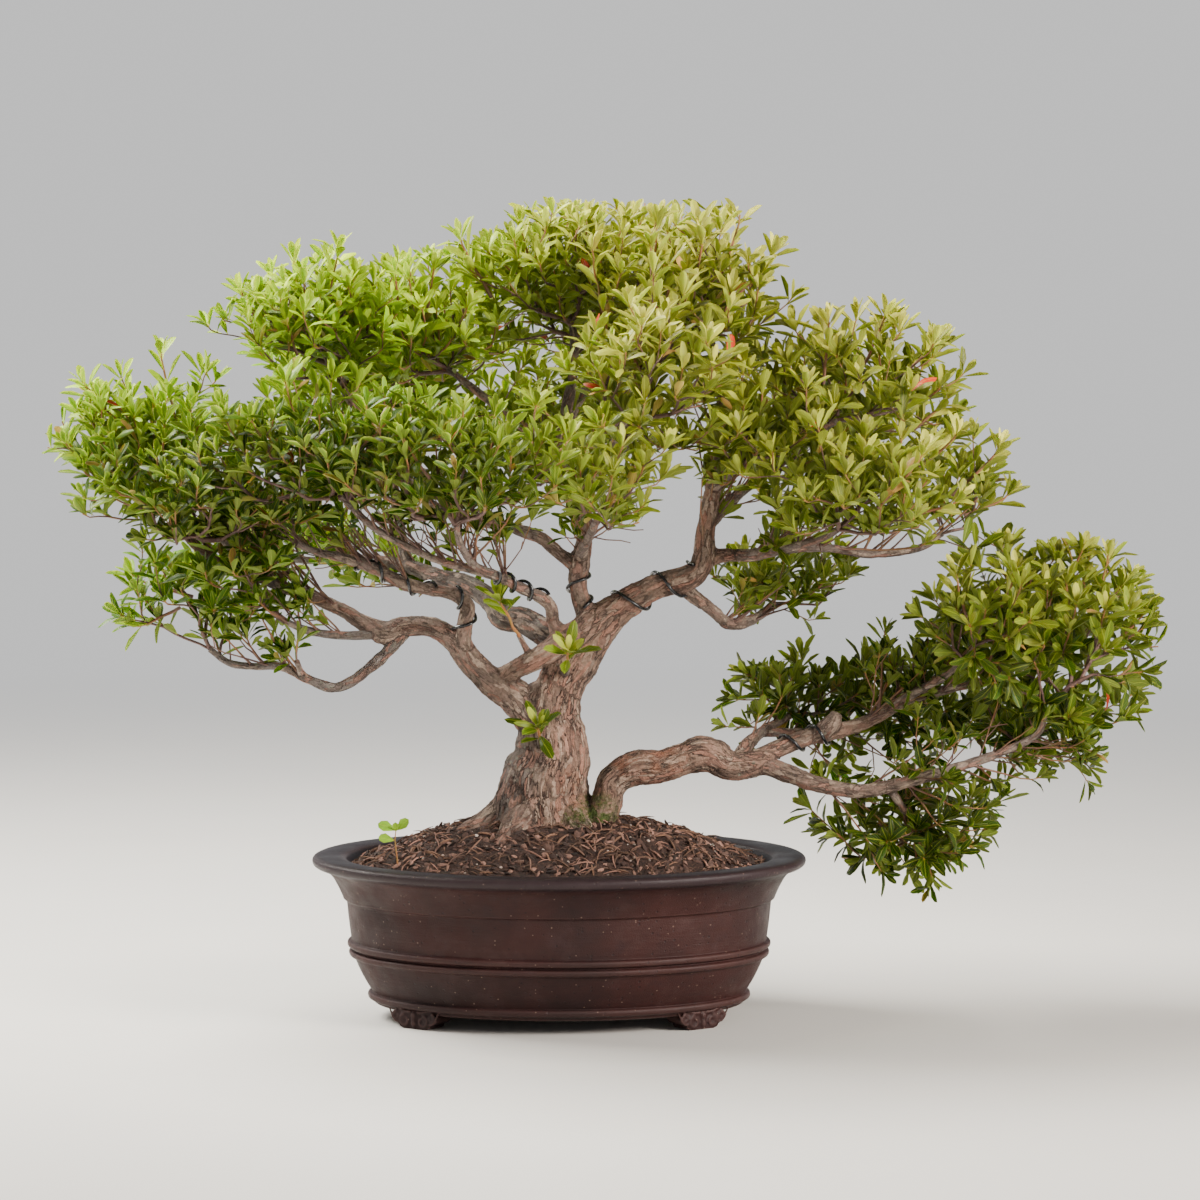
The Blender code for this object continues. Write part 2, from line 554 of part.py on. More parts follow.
def build_mulch(parts, cutters):
    """The mulch: a lumpy layer of shredded bark that lies on the soil."""
    top = [(half * MM, height * MM) for half, height in MULCH_TOP + [MULCH_RIM]]
    under = [(half, height - MULCH_THICK + GAP) for half, height in reversed(top[:-1])]
    edge = [(inner_wall(MULCH_EDGE) - WALL_CLEARANCE, MULCH_EDGE)]
    mulch = oval_turned("mulch", top + edge + under, MULCH_SIDES, parts)
    for vertex in mulch.data.vertices:
        level = mulch_height(math.hypot(vertex.co.x, vertex.co.y / oval_ratio(0.0)))
        if vertex.co.z > level - 0.5 * MULCH_THICK:
            vertex.co.z += MULCH_LUMP * noise.noise(vertex.co / MULCH_LUMP_SPACING)
    return cut_root_holes(mulch, parts, cutters)


def mulch_height(half_length):
    """Return the height of the mulch's smooth top at a half-length."""
    rows = MULCH_TOP + [MULCH_RIM]
    for (inner, high), (outer, low) in zip(rows, rows[1:]):
        if half_length <= outer * MM:
            share = (half_length - inner * MM) / ((outer - inner) * MM)
            return (high + (low - high) * share) * MM
    return MULCH_RIM[1] * MM


def build_trunk(parts, cutters):
    """The wood: all the limbs, joined in one solid."""
    trunk = limb_tube("trunk", parts)
    for name in LIMBS:
        if name != "trunk":
            limb_tube(name, cutters)
    return boolean(trunk, "UNION", cutters, parts, solver="MANIFOLD")


def along_limb(name, distance):
    """Return the point, the direction and the radius at a distance along a limb."""
    rows = LIMBS[name]
    for start, end in zip(rows, rows[1:]):
        step = millimetres(end) - millimetres(start)
        if distance <= step.length or end is rows[-1]:
            share = min(distance / step.length, 1.0)
            radius = (start[3] + (end[3] - start[3]) * share) * MM
            return millimetres(start) + step * share, step.normalized(), radius
        distance -= step.length


def wire_coil(name, limb, start, end, turns, first_angle, parts):
    """A training wire wound round a stretch of limb."""
    steps = round(turns * WIRE_POINTS_PER_TURN)
    across = Vector((0.0, -1.0, 0.0))
    points = []
    for step in range(steps + 1):
        middle, direction, radius = along_limb(limb, (start + (end - start) * step / steps) * MM)
        across = (across - direction * across.dot(direction)).normalized()
        reach = (radius + WIRE_RADIUS + WIRE_CLEARANCE) / math.cos(math.pi / WIRE_POINTS_PER_TURN)
        turn = Matrix.Rotation(math.radians(first_angle) + math.tau * step / WIRE_POINTS_PER_TURN, 3, direction)
        points.append(middle + turn @ across * reach)
    return tube(name, points, [WIRE_RADIUS] * len(points), WIRE_SIDES, parts)


def frame_round(direction, reference):
    """Return two directions square to a direction and to each other."""
    side = (reference - direction * reference.dot(direction)).normalized()
    return side, direction.cross(side)


def whorl_rows(shape, segments):
    """Return the sphere's top, its rings from top to bottom in turning order, and its bottom."""
    ordered = sorted(shape.verts, key=lambda vertex: -vertex.co.z)
    rings = []
    for first in range(1, len(ordered) - 1, segments):
        ring = ordered[first:first + segments]
        rings.append(sorted(ring, key=lambda vertex: math.atan2(vertex.co.y, vertex.co.x)))
    return ordered[0], rings, ordered[-1]


def leafy_twig(route, axis, leaves, length, spin, rng):
    """A twig with a whorl of leaves at its head: a sphere whose rings are drawn out along both."""
    segments = 4 * leaves
    shape = bmesh.new()
    bmesh.ops.create_uvsphere(shape, u_segments=segments, v_segments=len(route) + 2, radius=1.0)
    top, rings, bottom = whorl_rows(shape, segments)
    head = route[-1]
    side, other = frame_round(axis, OFF_AXIS)
    for leaf in range(leaves):
        middle = spin + math.tau * leaf / leaves
        reach = length * rng.uniform(*LEAF_LENGTH_SPREAD)
        rise = rng.uniform(*LEAF_RISE)
        root_out, root_up = LEAF_ROOT_AT * reach, LEAF_ROOT_LIFT * reach
        wide_out, wide_up = LEAF_WIDEST_AT * reach, LEAF_WIDEST_LIFT * reach
        half_angle = math.atan2(LEAF_HALF_WIDTH, wide_out)
        corners = (
            (middle - math.pi / leaves, root_out, root_up),
            (middle - half_angle, wide_out, wide_up),
            (middle, reach, reach),
            (middle + half_angle, wide_out, wide_up),
        )
        for corner, (angle, out, up) in enumerate(corners):
            outward = side * math.cos(angle) + other * math.sin(angle)
            place = head + outward * (out * math.cos(rise)) + axis * (up * math.sin(rise))
            rings[0][4 * leaf + corner].co = place
    top.co = head + axis * LEAF_THICK / 2
    draw_twig(rings[1:], bottom, route, segments)
    bmesh.ops.remove_doubles(shape, verts=shape.verts, dist=WELD)
    bmesh.ops.recalc_face_normals(shape, faces=shape.faces)
    return shape


def draw_twig(rings, bottom, route, segments):
    """Gather the sphere's lower rings into a three-sided twig that runs back along its route."""
    points = list(reversed(route))
    for level, (ring, point) in enumerate(zip(rings, points)):
        after = points[min(level + 1, len(points) - 1)]
        before = points[max(level - 1, 0)]
        direction = (before - after).normalized()
        side, other = frame_round(direction, OFF_AXIS)
        low = direction * (LEAF_THICK / 2 if level == 0 else 0.0)
        for slot, vertex in enumerate(ring):
            angle = math.tau * (TWIG_SIDES * slot // segments) / TWIG_SIDES
            vertex.co = point - low + (side * math.cos(angle) + other * math.sin(angle)) * TWIG_RADIUS
    bottom.co = points[-1] - (points[-2] - points[-1]).normalized() * TWIG_RADIUS / 2


def tree_of(thing):
    """Return a search tree of an object's faces."""
    faces = [tuple(face.vertices) for face in thing.data.polygons]
    return BVHTree.FromPolygons([vertex.co for vertex in thing.data.vertices], faces)


def whorl_tree(shape, head):
    """Return a search tree of the faces of a leafy twig that lie round its head."""
    shape.verts.index_update()
    near = [face for face in shape.faces if (face.calc_center_median() - head).length < LEAF_LENGTH]
    return BVHTree.FromPolygons([vertex.co for vertex in shape.verts],
                                [[vertex.index for vertex in face.verts] for face in near])


def project_on(place, stem):
    """Return the point of a stem that lies nearest to a place."""
    nearest = None
    for start, end in zip(stem, stem[1:]):
        along = end - start
        share = min(max((place - start).dot(along) / along.length_squared, 0.0), 1.0)
        point = start + along * share
        if nearest is None or (point - place).length < (nearest - place).length:
            nearest = point
    return nearest


def is_clear(shape, obstacles):
    """Tell whether a shape's faces cross none of the obstacles'."""
    tree = BVHTree.FromBMesh(shape)
    return not any(tree.overlap(obstacle) for obstacle in obstacles)


def fit_leafy_twig(route, axis, length, obstacles, rng):
    """Return a leafy twig that crosses nothing, turned, shortened or pulled back until it does so."""
    leaf_angle = math.tau / LEAVES_PER_WHORL
    for pull in PULLS:
        for shorter in SHORTENINGS:
            for turn in range(TURNS_TRIED):
                placed = [point.lerp(route[0], pull) for point in route]
                spin = (turn + rng.random()) * leaf_angle / TURNS_TRIED
                shape = leafy_twig(placed, axis, LEAVES_PER_WHORL, length * shorter, spin, rng)
                if is_clear(shape, obstacles):
                    return shape
                shape.free()
    return None


def spiral_direction(index, count):
    """Spread directions evenly over the upper part of a ball."""
    height = 1.0 - CROWN_DEPTH * (index + 0.5) / count
    angle = index * GOLDEN_ANGLE
    flat = math.sqrt(max(0.0, 1.0 - height * height))
    return Vector((flat * math.cos(angle), flat * math.sin(angle), height))


def add_shape(name, shape, collection):
    """Turn a bmesh into an object."""
    mesh = bpy.data.meshes.new(name)
    shape.to_mesh(mesh)
    shape.free()
    return add_object(name, mesh, collection)


def spray_stem(name, limb, middle, half_height, collection):
    """The spray's stem: it goes on from its limb's end, a gap away, to just under the leaves' middle."""
    rows = LIMBS[limb]
    end = millimetres(rows[-1])
    direction = (end - millimetres(rows[-2])).normalized()
    radius = rows[-1][3] * MM
    start = end + direction * GAP
    goal = middle - Vector((0.0, 0.0, STEM_UNDER_LEAVES * half_height))
    knee = start + direction * 0.3 * (goal - start).length
    points = [start, knee, start.lerp(goal, 0.65), goal]
    radii = [radius, 0.9 * radius, 0.8 * radius, 0.7 * radius]
    return tube(name, points, radii, 4, collection), points


def build_spray(listed, obstacles, rng, parts, cutters):
    """One leafy spray: a stem and its leafy twigs, joined in one solid."""
    name, limb, middle, half_sizes, count = listed
    middle = millimetres(middle)
    half_sizes = millimetres(half_sizes)
    spray, stem = spray_stem("spray_" + name, limb, middle, half_sizes.z, parts)
    heads = []
    for index in range(count):
        direction = spiral_direction(index, count)
        reach = Vector([max(half - HEAD_INSET, 0.0) * part for half, part in zip(half_sizes, direction)])
        heads.append(middle + reach)
    heads += [millimetres(place) for place in REACHING_WHORLS.get(name, [])]
    whorls = []
    for index, head in enumerate(heads):
        root = project_on(stem[1].lerp(stem[3], 1.0 - (index + 0.3) / len(heads)), stem)
        axis = ((head - middle).normalized() + WHORL_UPRIGHT).normalized()
        route = [root, head - axis * WHORL_NECK, head]
        twig = fit_leafy_twig(route, axis, LEAF_LENGTH, obstacles + whorls, rng)
        twig = twig or fit_leafy_twig(route, axis, LEAF_LENGTH, obstacles, rng)
        if twig:
            whorls.append(whorl_tree(twig, head))
            add_shape("twig", twig, cutters)
    return boolean(spray, "UNION", cutters, parts, solver="MANIFOLD")


def build_trunk_shoot(listed, obstacles, rng, parts, cutters):
    """A young shoot on the trunk: a short stem and its whorl."""
    name, limb, head = listed
    shoot, stem = spray_stem(name, limb, millimetres(head), 0.0, parts)
    axis = ((stem[3] - stem[0]).normalized() + SHOOT_LEAN).normalized()
    twig = fit_leafy_twig([stem[1], stem[2], stem[3] + axis * SHOOT_TIP], axis, LEAF_LENGTH, obstacles, rng)
    if twig:
        add_shape("twig", twig, cutters)
    return boolean(shoot, "UNION", cutters, parts, solver="MANIFOLD")


def main():
    """Build the plant and its pot, and stand them over the origin."""
    clear_scene()
    rng = random.Random(SEED)
    parts = new_collection("satsuki_azalea_bonsai")
    cutters = new_collection("cutters")
    nodes = [painted(build_pot(parts, cutters), "pot")]
    for name, side in (("drain_screen_left", -1), ("drain_screen_right", 1)):
        nodes.append(painted(build_screen(name, side, parts, cutters), "screen"))
    nodes.append(painted(build_soil(parts, cutters), "soil"))
    nodes.append(painted(build_mulch(parts, cutters), "mulch"))
    nodes.append(painted(build_trunk(parts, cutters), "bark"))
    nodes += [painted(wire_coil(*listed, parts), "wire") for listed in WIRES]
    obstacles = [tree_of(node) for node in nodes]
    for listed in TRUNK_SHOOTS:
        nodes.append(painted(build_trunk_shoot(listed, obstacles, rng, parts, cutters), "leaf"))
        obstacles.append(tree_of(nodes[-1]))
    for listed in SPRAYS:
        nodes.append(painted(build_spray(listed, obstacles, rng, parts, cutters), "leaf"))
        obstacles.append(tree_of(nodes[-1]))
    stand = bpy.data.objects.new("stand_point", None)
    parts.objects.link(stand)
    for node in nodes:
        node.parent = stand
    stand.location = STANDING_SHIFT


main()
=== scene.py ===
"""The looks of a satsuki azalea bonsai in an oval pot, laid out as a Blender add-on.

Metres, +Z up, +Y away from the viewer. Listed places are in millimetres from the middle of the pot on the
ground, as in the part's source, and place() takes them to the frame.
"""

import json
import math
import random

import bmesh
import bpy
import numpy as np
from mathutils import Matrix, Vector, noise
from mathutils.bvhtree import BVHTree

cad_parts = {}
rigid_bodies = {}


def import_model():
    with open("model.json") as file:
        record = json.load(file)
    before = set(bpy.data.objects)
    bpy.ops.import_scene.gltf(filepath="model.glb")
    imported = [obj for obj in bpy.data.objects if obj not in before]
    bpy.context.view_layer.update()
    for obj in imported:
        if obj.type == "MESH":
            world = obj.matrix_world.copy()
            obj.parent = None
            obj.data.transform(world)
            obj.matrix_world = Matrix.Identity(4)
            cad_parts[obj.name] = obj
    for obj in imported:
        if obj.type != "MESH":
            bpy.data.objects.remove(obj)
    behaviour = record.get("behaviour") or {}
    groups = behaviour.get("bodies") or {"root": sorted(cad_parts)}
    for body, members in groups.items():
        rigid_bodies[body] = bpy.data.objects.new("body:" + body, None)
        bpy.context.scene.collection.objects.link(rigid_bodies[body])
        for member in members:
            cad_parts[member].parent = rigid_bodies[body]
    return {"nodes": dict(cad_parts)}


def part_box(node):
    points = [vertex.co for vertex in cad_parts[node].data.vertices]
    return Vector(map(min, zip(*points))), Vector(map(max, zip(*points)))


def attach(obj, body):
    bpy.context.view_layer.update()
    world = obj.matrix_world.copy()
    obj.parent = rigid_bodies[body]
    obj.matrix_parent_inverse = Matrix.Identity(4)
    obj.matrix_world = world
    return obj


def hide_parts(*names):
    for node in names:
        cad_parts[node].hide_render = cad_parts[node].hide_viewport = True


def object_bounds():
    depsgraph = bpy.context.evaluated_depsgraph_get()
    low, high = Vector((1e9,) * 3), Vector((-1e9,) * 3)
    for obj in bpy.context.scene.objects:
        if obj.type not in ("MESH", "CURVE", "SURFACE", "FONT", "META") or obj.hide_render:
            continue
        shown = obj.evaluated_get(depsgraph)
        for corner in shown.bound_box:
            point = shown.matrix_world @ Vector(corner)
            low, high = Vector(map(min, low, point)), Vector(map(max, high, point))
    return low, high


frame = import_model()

bl_info = {
    "name": "Satsuki azalea bonsai",
    "version": (1, 0, 0),
    "blender": (4, 5, 0),
    "location": "View3D > Sidebar > Bonsai",
    "description": "Builds the wood, twigs, leaves, pot, mulch, moss and training wire of an azalea bonsai",
    "category": "Add Mesh",
}

MM = 0.001
CAD_LOW, CAD_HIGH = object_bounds()
POT_LOW, POT_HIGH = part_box("pot")
POT_MIDDLE = Vector(((POT_LOW.x + POT_HIGH.x) / 2, (POT_LOW.y + POT_HIGH.y) / 2, 0.0))
SEED = 41
GOLDEN_ANGLE = math.pi * (3.0 - math.sqrt(5.0))
UP = Vector((0.0, 0.0, 1.0))

# Camera
CAMERA_AIM = Vector((-7.5, -14.5, 378.0)) * MM
CAMERA_AWAY = Vector((0.0, -4782.0, 418.0)) * MM
FLOOR_HALF_WIDTH = 12.0

# Pot
FLOOR_HALF_LENGTH = 146.0
FLOOR_TOP = 24.0
FLOOR_UNDERSIDE = 12.0
FOOT_X = 123.0
FOOT_Y = 66.0
FOOT_TURN = math.radians(36.0)
FOOT_HALF_DEPTH = 12.0
DRAIN_X = 70.0
DRAIN_RADIUS = 11.0

# The pot's section as (inset from the lip's half-length, height) in mm: up the inside, over the lip, down the
# cove, the belly and its two beads, and the bead at the foot.
POT_SECTION = [
    (65.5, 30.0), (55.5, 46.0), (47.5, 68.0), (43.5, 92.0), (40.0, 122.0), (32.5, 142.0),
    (29.5, 147.0), (8.0, 148.0), (2.0, 146.8), (0.0, 143.0), (2.0, 138.6), (9.0, 136.5),
    (17.0, 132.0), (24.0, 120.0), (28.0, 110.6), (28.4, 109.0), (31.4, 107.6), (31.8, 105.0), (33.2, 90.0),
    (35.6, 72.6), (35.8, 71.2), (32.4, 70.0), (31.9, 67.6), (32.6, 65.2), (36.6, 64.0), (36.8, 62.6),
    (33.6, 61.6), (33.2, 59.2), (34.2, 56.8), (38.6, 55.6), (40.0, 51.0),
    (46.0, 38.0), (53.4, 25.6), (54.0, 24.4), (50.8, 23.4), (50.2, 20.6), (51.2, 18.0), (55.4, 16.8),
    (56.6, 13.5), (69.5, 12.0),
]

# Half of a cloud foot seen from the front, as (sideways, height) in mm, from its flat bottom to its root.
FOOT_OUTLINE = [
    (13.0, 0.0), (17.0, 1.5), (18.0, 5.0), (21.5, 5.5), (25.0, 8.5), (25.0, 12.5), (22.0, 14.5), (22.0, 17.0),
]

# The swept wings carved on a foot, as (sideways, height) in mm.
UPPER_WING = ((4.0, 15.5), (9.0, 15.6), (15.0, 17.4), (20.0, 19.8), (26.5, 22.4))
LOWER_WING = ((17.0, 5.5), (20.5, 6.2), (24.0, 9.2), (25.6, 13.0), (28.4, 18.5))

# The mulch's top and underside as (half-length, height) in mm. The top runs out from the trunk to the rim.
MULCH_RIM = (186.0, 139.5)
MULCH_TOP = [
    (0.0, 183.0), (45.0, 181.0), (85.0, 175.0), (120.0, 166.0), (150.0, 154.0), (175.0, 143.0), MULCH_RIM,
]
MULCH_UNDER = [(186.0, 126.0), (150.0, 138.0), (0.0, 160.0)]

# The mulch's rings: the first one's half-length in mm, how many more there are out to the rim, and their
# points. Then where its litter stops and its lumps fade out, in mm, and the half-length in metres of the
# oval that they are measured by.
MULCH_FIRST_RING = 4.0
MULCH_RINGS = 60
MULCH_SIDES = 160
LITTER_WITHIN = 184.0
LUMPS_WITHIN = 190.0
LUMPS_FADE = 12.0
MULCH_OVAL = 0.12

# Limbs: a name, and the points (x, y, z, radius) in mm from the middle of the pot, in order from the root.
LIMBS = {
    "trunk": [
        (-12, 0, 118, 40), (-12, 0, 150, 47), (-11, 0, 178, 45), (-13, 0, 198, 41), (-12, 0, 216, 40),
        (-7, 0, 234, 35), (-7, 0, 253, 32), (-8, 0, 272, 28), (-7, 0, 286, 27), (-4, 0, 299, 22),
    ],
    "left_root": [
        (-14, 0, 206, 26), (-40, -6, 190, 21), (-62, -10, 177, 15), (-86, -14, 166, 10),
        (-108, -18, 152, 5),
    ],
    "front_left_root": [(-16, -8, 200, 24), (-32, -30, 180, 17), (-50, -54, 162, 10), (-66, -76, 146, 5)],
    "front_right_root": [(-4, -10, 194, 24), (14, -32, 177, 15), (28, -56, 160, 9), (40, -76, 145, 5)],
    "back_root": [(-12, 8, 200, 25), (-16, 40, 180, 16), (-16, 68, 162, 10), (-14, 92, 146, 5)],
    "right_root": [(0, 4, 190, 24), (34, 10, 176, 17), (64, 14, 163, 10), (90, 16, 148, 5)],
    "left_flare": [(-18, -6, 232, 25), (-26, -8, 212, 27), (-34, -10, 190, 26), (-42, -12, 168, 22)],
    "low_right": [
        (14, -10, 158, 17), (34, -12, 176, 15), (43, -12, 197, 14), (49, -12, 215, 15), (68, -12, 227, 16),
        (91, -13, 229, 15), (112, -14, 236, 15), (127, -14, 240, 17), (139, -15, 238, 16),
        (152, -15, 230, 14), (168, -16, 230, 13), (187, -17, 233, 10),
    ],
    "low_right_lower": [
        (183, -18, 232, 9), (211, -26, 222, 8.5), (229, -32, 216, 7.5), (253, -36, 211, 7),
        (277, -38, 210, 6.5), (316, -40, 219, 5.5), (350, -40, 229, 4.8), (393, -37, 243, 4),
        (427, -32, 259, 3.2), (436, -30, 277, 2.8),
    ],
    "low_right_upper": [
        (178, -12, 236, 9), (205, -6, 247, 8), (229, -2, 255, 8), (258, 2, 261, 7), (277, 4, 267, 6),
        (311, 6, 284, 5), (335, 4, 293, 4.5), (386, 0, 306, 3.5), (412, -2, 318, 3),
    ],
    "low_right_knob": [(232, -2, 254, 9), (246, -6, 268, 8), (250, -8, 276, 5)],
    "low_right_middle": [
        (300, 4, 279, 4.5), (322, -16, 297, 3.8), (345, -34, 312, 3), (362, -44, 328, 2.6),
    ],
    "low_right_under": [(385, -38, 240, 3.6), (408, -14, 247, 3), (424, 12, 252, 2.6)],
    "low_right_hanging": [
        (296, -39, 213, 4.5), (306, -30, 197, 3.6), (318, -12, 180, 3), (324, -2, 168, 2.6),
    ],
    "low_right_rear": [(160, -12, 232, 8), (172, 20, 246, 6), (190, 56, 256, 4.6), (212, 88, 264, 3.2)],
    "low_right_back": [(184, 46, 253, 4.6), (222, 72, 250, 4), (266, 98, 248, 3.4), (304, 112, 252, 2.8)],
    "right_limb": [
        (-4, 0, 284, 22), (0, 0, 297, 22), (5, 0, 310, 22), (14, 2, 324, 23), (26, 3, 342, 21),
        (40, 4, 358, 18), (53, 5, 369, 15), (73, 5, 382, 13), (91, 4, 391, 12), (111, 2, 396, 12),
        (126, 0, 405, 11), (131, -2, 423, 10), (132, -4, 441, 9), (140, -6, 486, 7.5), (147, -9, 531, 6.5),
        (145, -9, 576, 5), (136, -6, 612, 3.5),
    ],
    "mid_right_rear": [
        (108, 2, 392, 7), (125, 20, 377, 6.5), (138, 44, 366, 6), (152, 74, 351, 6), (167, 100, 348, 5.5),
        (184, 128, 352, 4.5), (198, 150, 362, 3.2),
    ],
    "right_level": [
        (128, 0, 414, 8), (149, 2, 418, 6.5), (176, 8, 418, 5.5), (208, 16, 423, 4.5), (244, 24, 423, 4),
        (280, 34, 417, 4), (325, 44, 421, 3.4), (348, 52, 434, 2.8),
    ],
    "right_front": [
        (160, 5, 418, 5.5), (180, -24, 422, 5), (206, -58, 430, 4.2), (232, -88, 440, 3.4),
        (246, -104, 449, 2.8),
    ],
    "right_inner": [(137, -5, 478, 6), (150, -24, 491, 4.5), (163, -42, 504, 3)],
    "right_shoulder": [
        (140, -6, 484, 6.5), (160, -4, 498, 5.5), (184, -2, 510, 5), (217, 0, 522, 4.6), (250, 0, 540, 3.4),
    ],
    "right_back": [
        (133, -4, 446, 7), (146, 30, 456, 6), (165, 74, 470, 5), (190, 120, 484, 4), (212, 150, 496, 3),
    ],
    "central": [
        (22, 0, 344, 13), (27, 2, 360, 11), (21, 3, 375, 8.5), (17, 4, 392, 8.5), (19, 5, 412, 9),
        (23, 6, 432, 7.5), (19, 6, 452, 7), (10, 7, 478, 6.5), (1, 8, 509, 6), (5, 10, 540, 5.5),
        (12, 14, 576, 4.6), (14, 18, 612, 4), (9, 20, 634, 3),
    ],
    "apex_front": [(16, 6, 462, 5.5), (26, -22, 484, 4.6), (44, -62, 514, 3.8), (60, -92, 546, 3)],
    "apex_shoot": [(12, 7, 470, 5), (40, -14, 500, 4.2), (60, -40, 520, 3.6), (70, -52, 536, 3)],
    "apex_back": [(3, 9, 528, 5), (18, 44, 556, 4.4), (36, 84, 586, 3.8), (50, 118, 614, 3)],
    "left_inner": [
        (2, 8, 504, 5.5), (-24, 10, 527, 5), (-55, 12, 551, 4.2), (-84, 16, 573, 3.5), (-100, 18, 586, 2.8),
    ],
    "centre_low_front": [
        (20, 4, 416, 6), (22, -32, 428, 5), (28, -76, 442, 4), (33, -116, 456, 3.4), (35, -140, 464, 2.8),
    ],
    "back_middle": [
        (23, 6, 436, 6.5), (20, 46, 446, 5.5), (14, 98, 460, 4.6), (8, 150, 474, 3.8), (4, 186, 486, 3),
    ],
    "crown_left": [
        (18, 4, 406, 6), (-5, 8, 424, 6), (-18, 10, 434, 5.5), (-50, 12, 444, 5), (-82, 14, 450, 4.6),
        (-118, 14, 466, 4.2), (-150, 12, 502, 3.8), (-180, 8, 544, 3.4), (-200, 4, 578, 2.8),
    ],
    "front_left": [
        (0, -4, 350, 8), (-5, -18, 360, 6), (-7, -28, 374, 5.8), (-16, -42, 384, 5.5), (-35, -62, 395, 5),
        (-52, -84, 406, 4.5), (-72, -116, 418, 3.8), (-84, -144, 438, 3.2), (-88, -164, 458, 2.8),
    ],
    "front_far_left": [
        (-50, -82, 405, 4.5), (-72, -92, 412, 4), (-98, -98, 419, 3.6), (-128, -104, 432, 3.4),
        (-162, -112, 452, 3.2), (-190, -120, 480, 2.8),
    ],
    "cross_limb": [
        (-52, -8, 308, 9), (-35, -18, 319, 9), (-17, -22, 329, 10), (1, -20, 341, 11), (18, -10, 352, 11),
        (32, 0, 362, 11),
    ],
    "rear_left": [
        (12, 4, 334, 13), (-8, 14, 344, 13), (-31, 28, 356, 12.5), (-49, 38, 358, 12), (-62, 50, 373, 10.5),
        (-80, 64, 384, 10), (-100, 80, 389, 9), (-118, 96, 393, 7.5), (-142, 110, 400, 6.5),
        (-180, 122, 405, 5), (-224, 132, 403, 4), (-248, 137, 404, 3),
    ],
    "rear_under": [(-112, 92, 391, 6), (-120, 112, 384, 4.6), (-124, 130, 378, 3)],
    "crown_back": [
        (-140, 109, 399, 6), (-147, 124, 430, 5), (-153, 140, 470, 4.4), (-160, 156, 512, 3.6),
        (-165, 168, 538, 2.8),
    ],
    "left_stem": [
        (-10, 0, 258, 22), (-26, -3, 275, 18), (-36, -5, 288, 16), (-46, -7, 296, 15), (-62, -8, 306, 13.5),
        (-76, -8, 319, 12), (-87, -8, 333, 11), (-98, -6, 345, 10), (-116, -4, 354, 9.5),
        (-139, 0, 354, 10), (-157, 2, 348, 11), (-178, 2, 358, 7.5), (-194, 4, 368, 6.5), (-218, 6, 379, 6),
        (-240, 8, 386, 5.5), (-273, 8, 398, 4.2), (-300, 4, 406, 3.6), (-328, -4, 428, 3.2),
        (-350, -10, 456, 2.8),
    ],
    "left_middle": [
        (-252, 8, 390, 4.4), (-268, -20, 404, 3.8), (-286, -50, 422, 3.2), (-298, -70, 438, 2.8),
    ],
    "left_wired": [
        (-80, -8, 324, 8), (-86, -12, 342, 8), (-84, -14, 360, 7.5), (-82, -16, 374, 7),
        (-94, -21, 385, 6.2), (-116, -27, 390, 6), (-139, -33, 396, 6), (-161, -41, 408, 5.5),
        (-188, -50, 419, 4.6), (-214, -60, 426, 3.8), (-232, -68, 434, 3),
    ],
    "left_drooping": [
        (-140, 0, 350, 8), (-149, -2, 338, 6), (-160, -4, 326, 5.5), (-172, -7, 316, 5),
        (-187, -10, 305, 4.6), (-204, -12, 300, 4.5), (-228, -14, 309, 4.2), (-249, -14, 319, 3.8),
        (-272, -12, 319, 3.5), (-296, -10, 322, 3.2), (-314, -6, 334, 2.8),
    ],
    "left_low_thin": [
        (-162, 0, 347, 5), (-192, -12, 347, 4), (-220, -20, 351, 3.7), (-243, -23, 360, 3.3),
        (-262, -23, 374, 2.8),
    ],
    "droop_twig": [(-231, -14, 311, 3.2), (-234, -36, 326, 2.6)],
    "low_shoot": [(-14, -20, 246, 6), (-16, -39, 256, 3), (-17, -46, 262, 2.4)],
    "high_shoot": [(4, -10, 312, 6), (7, -31, 318, 3), (8, -38, 325, 2.4)],
    "left_shoot": [(-22, -8, 322, 6), (-30, -26, 338, 3), (-36, -30, 350, 2.4)],
}

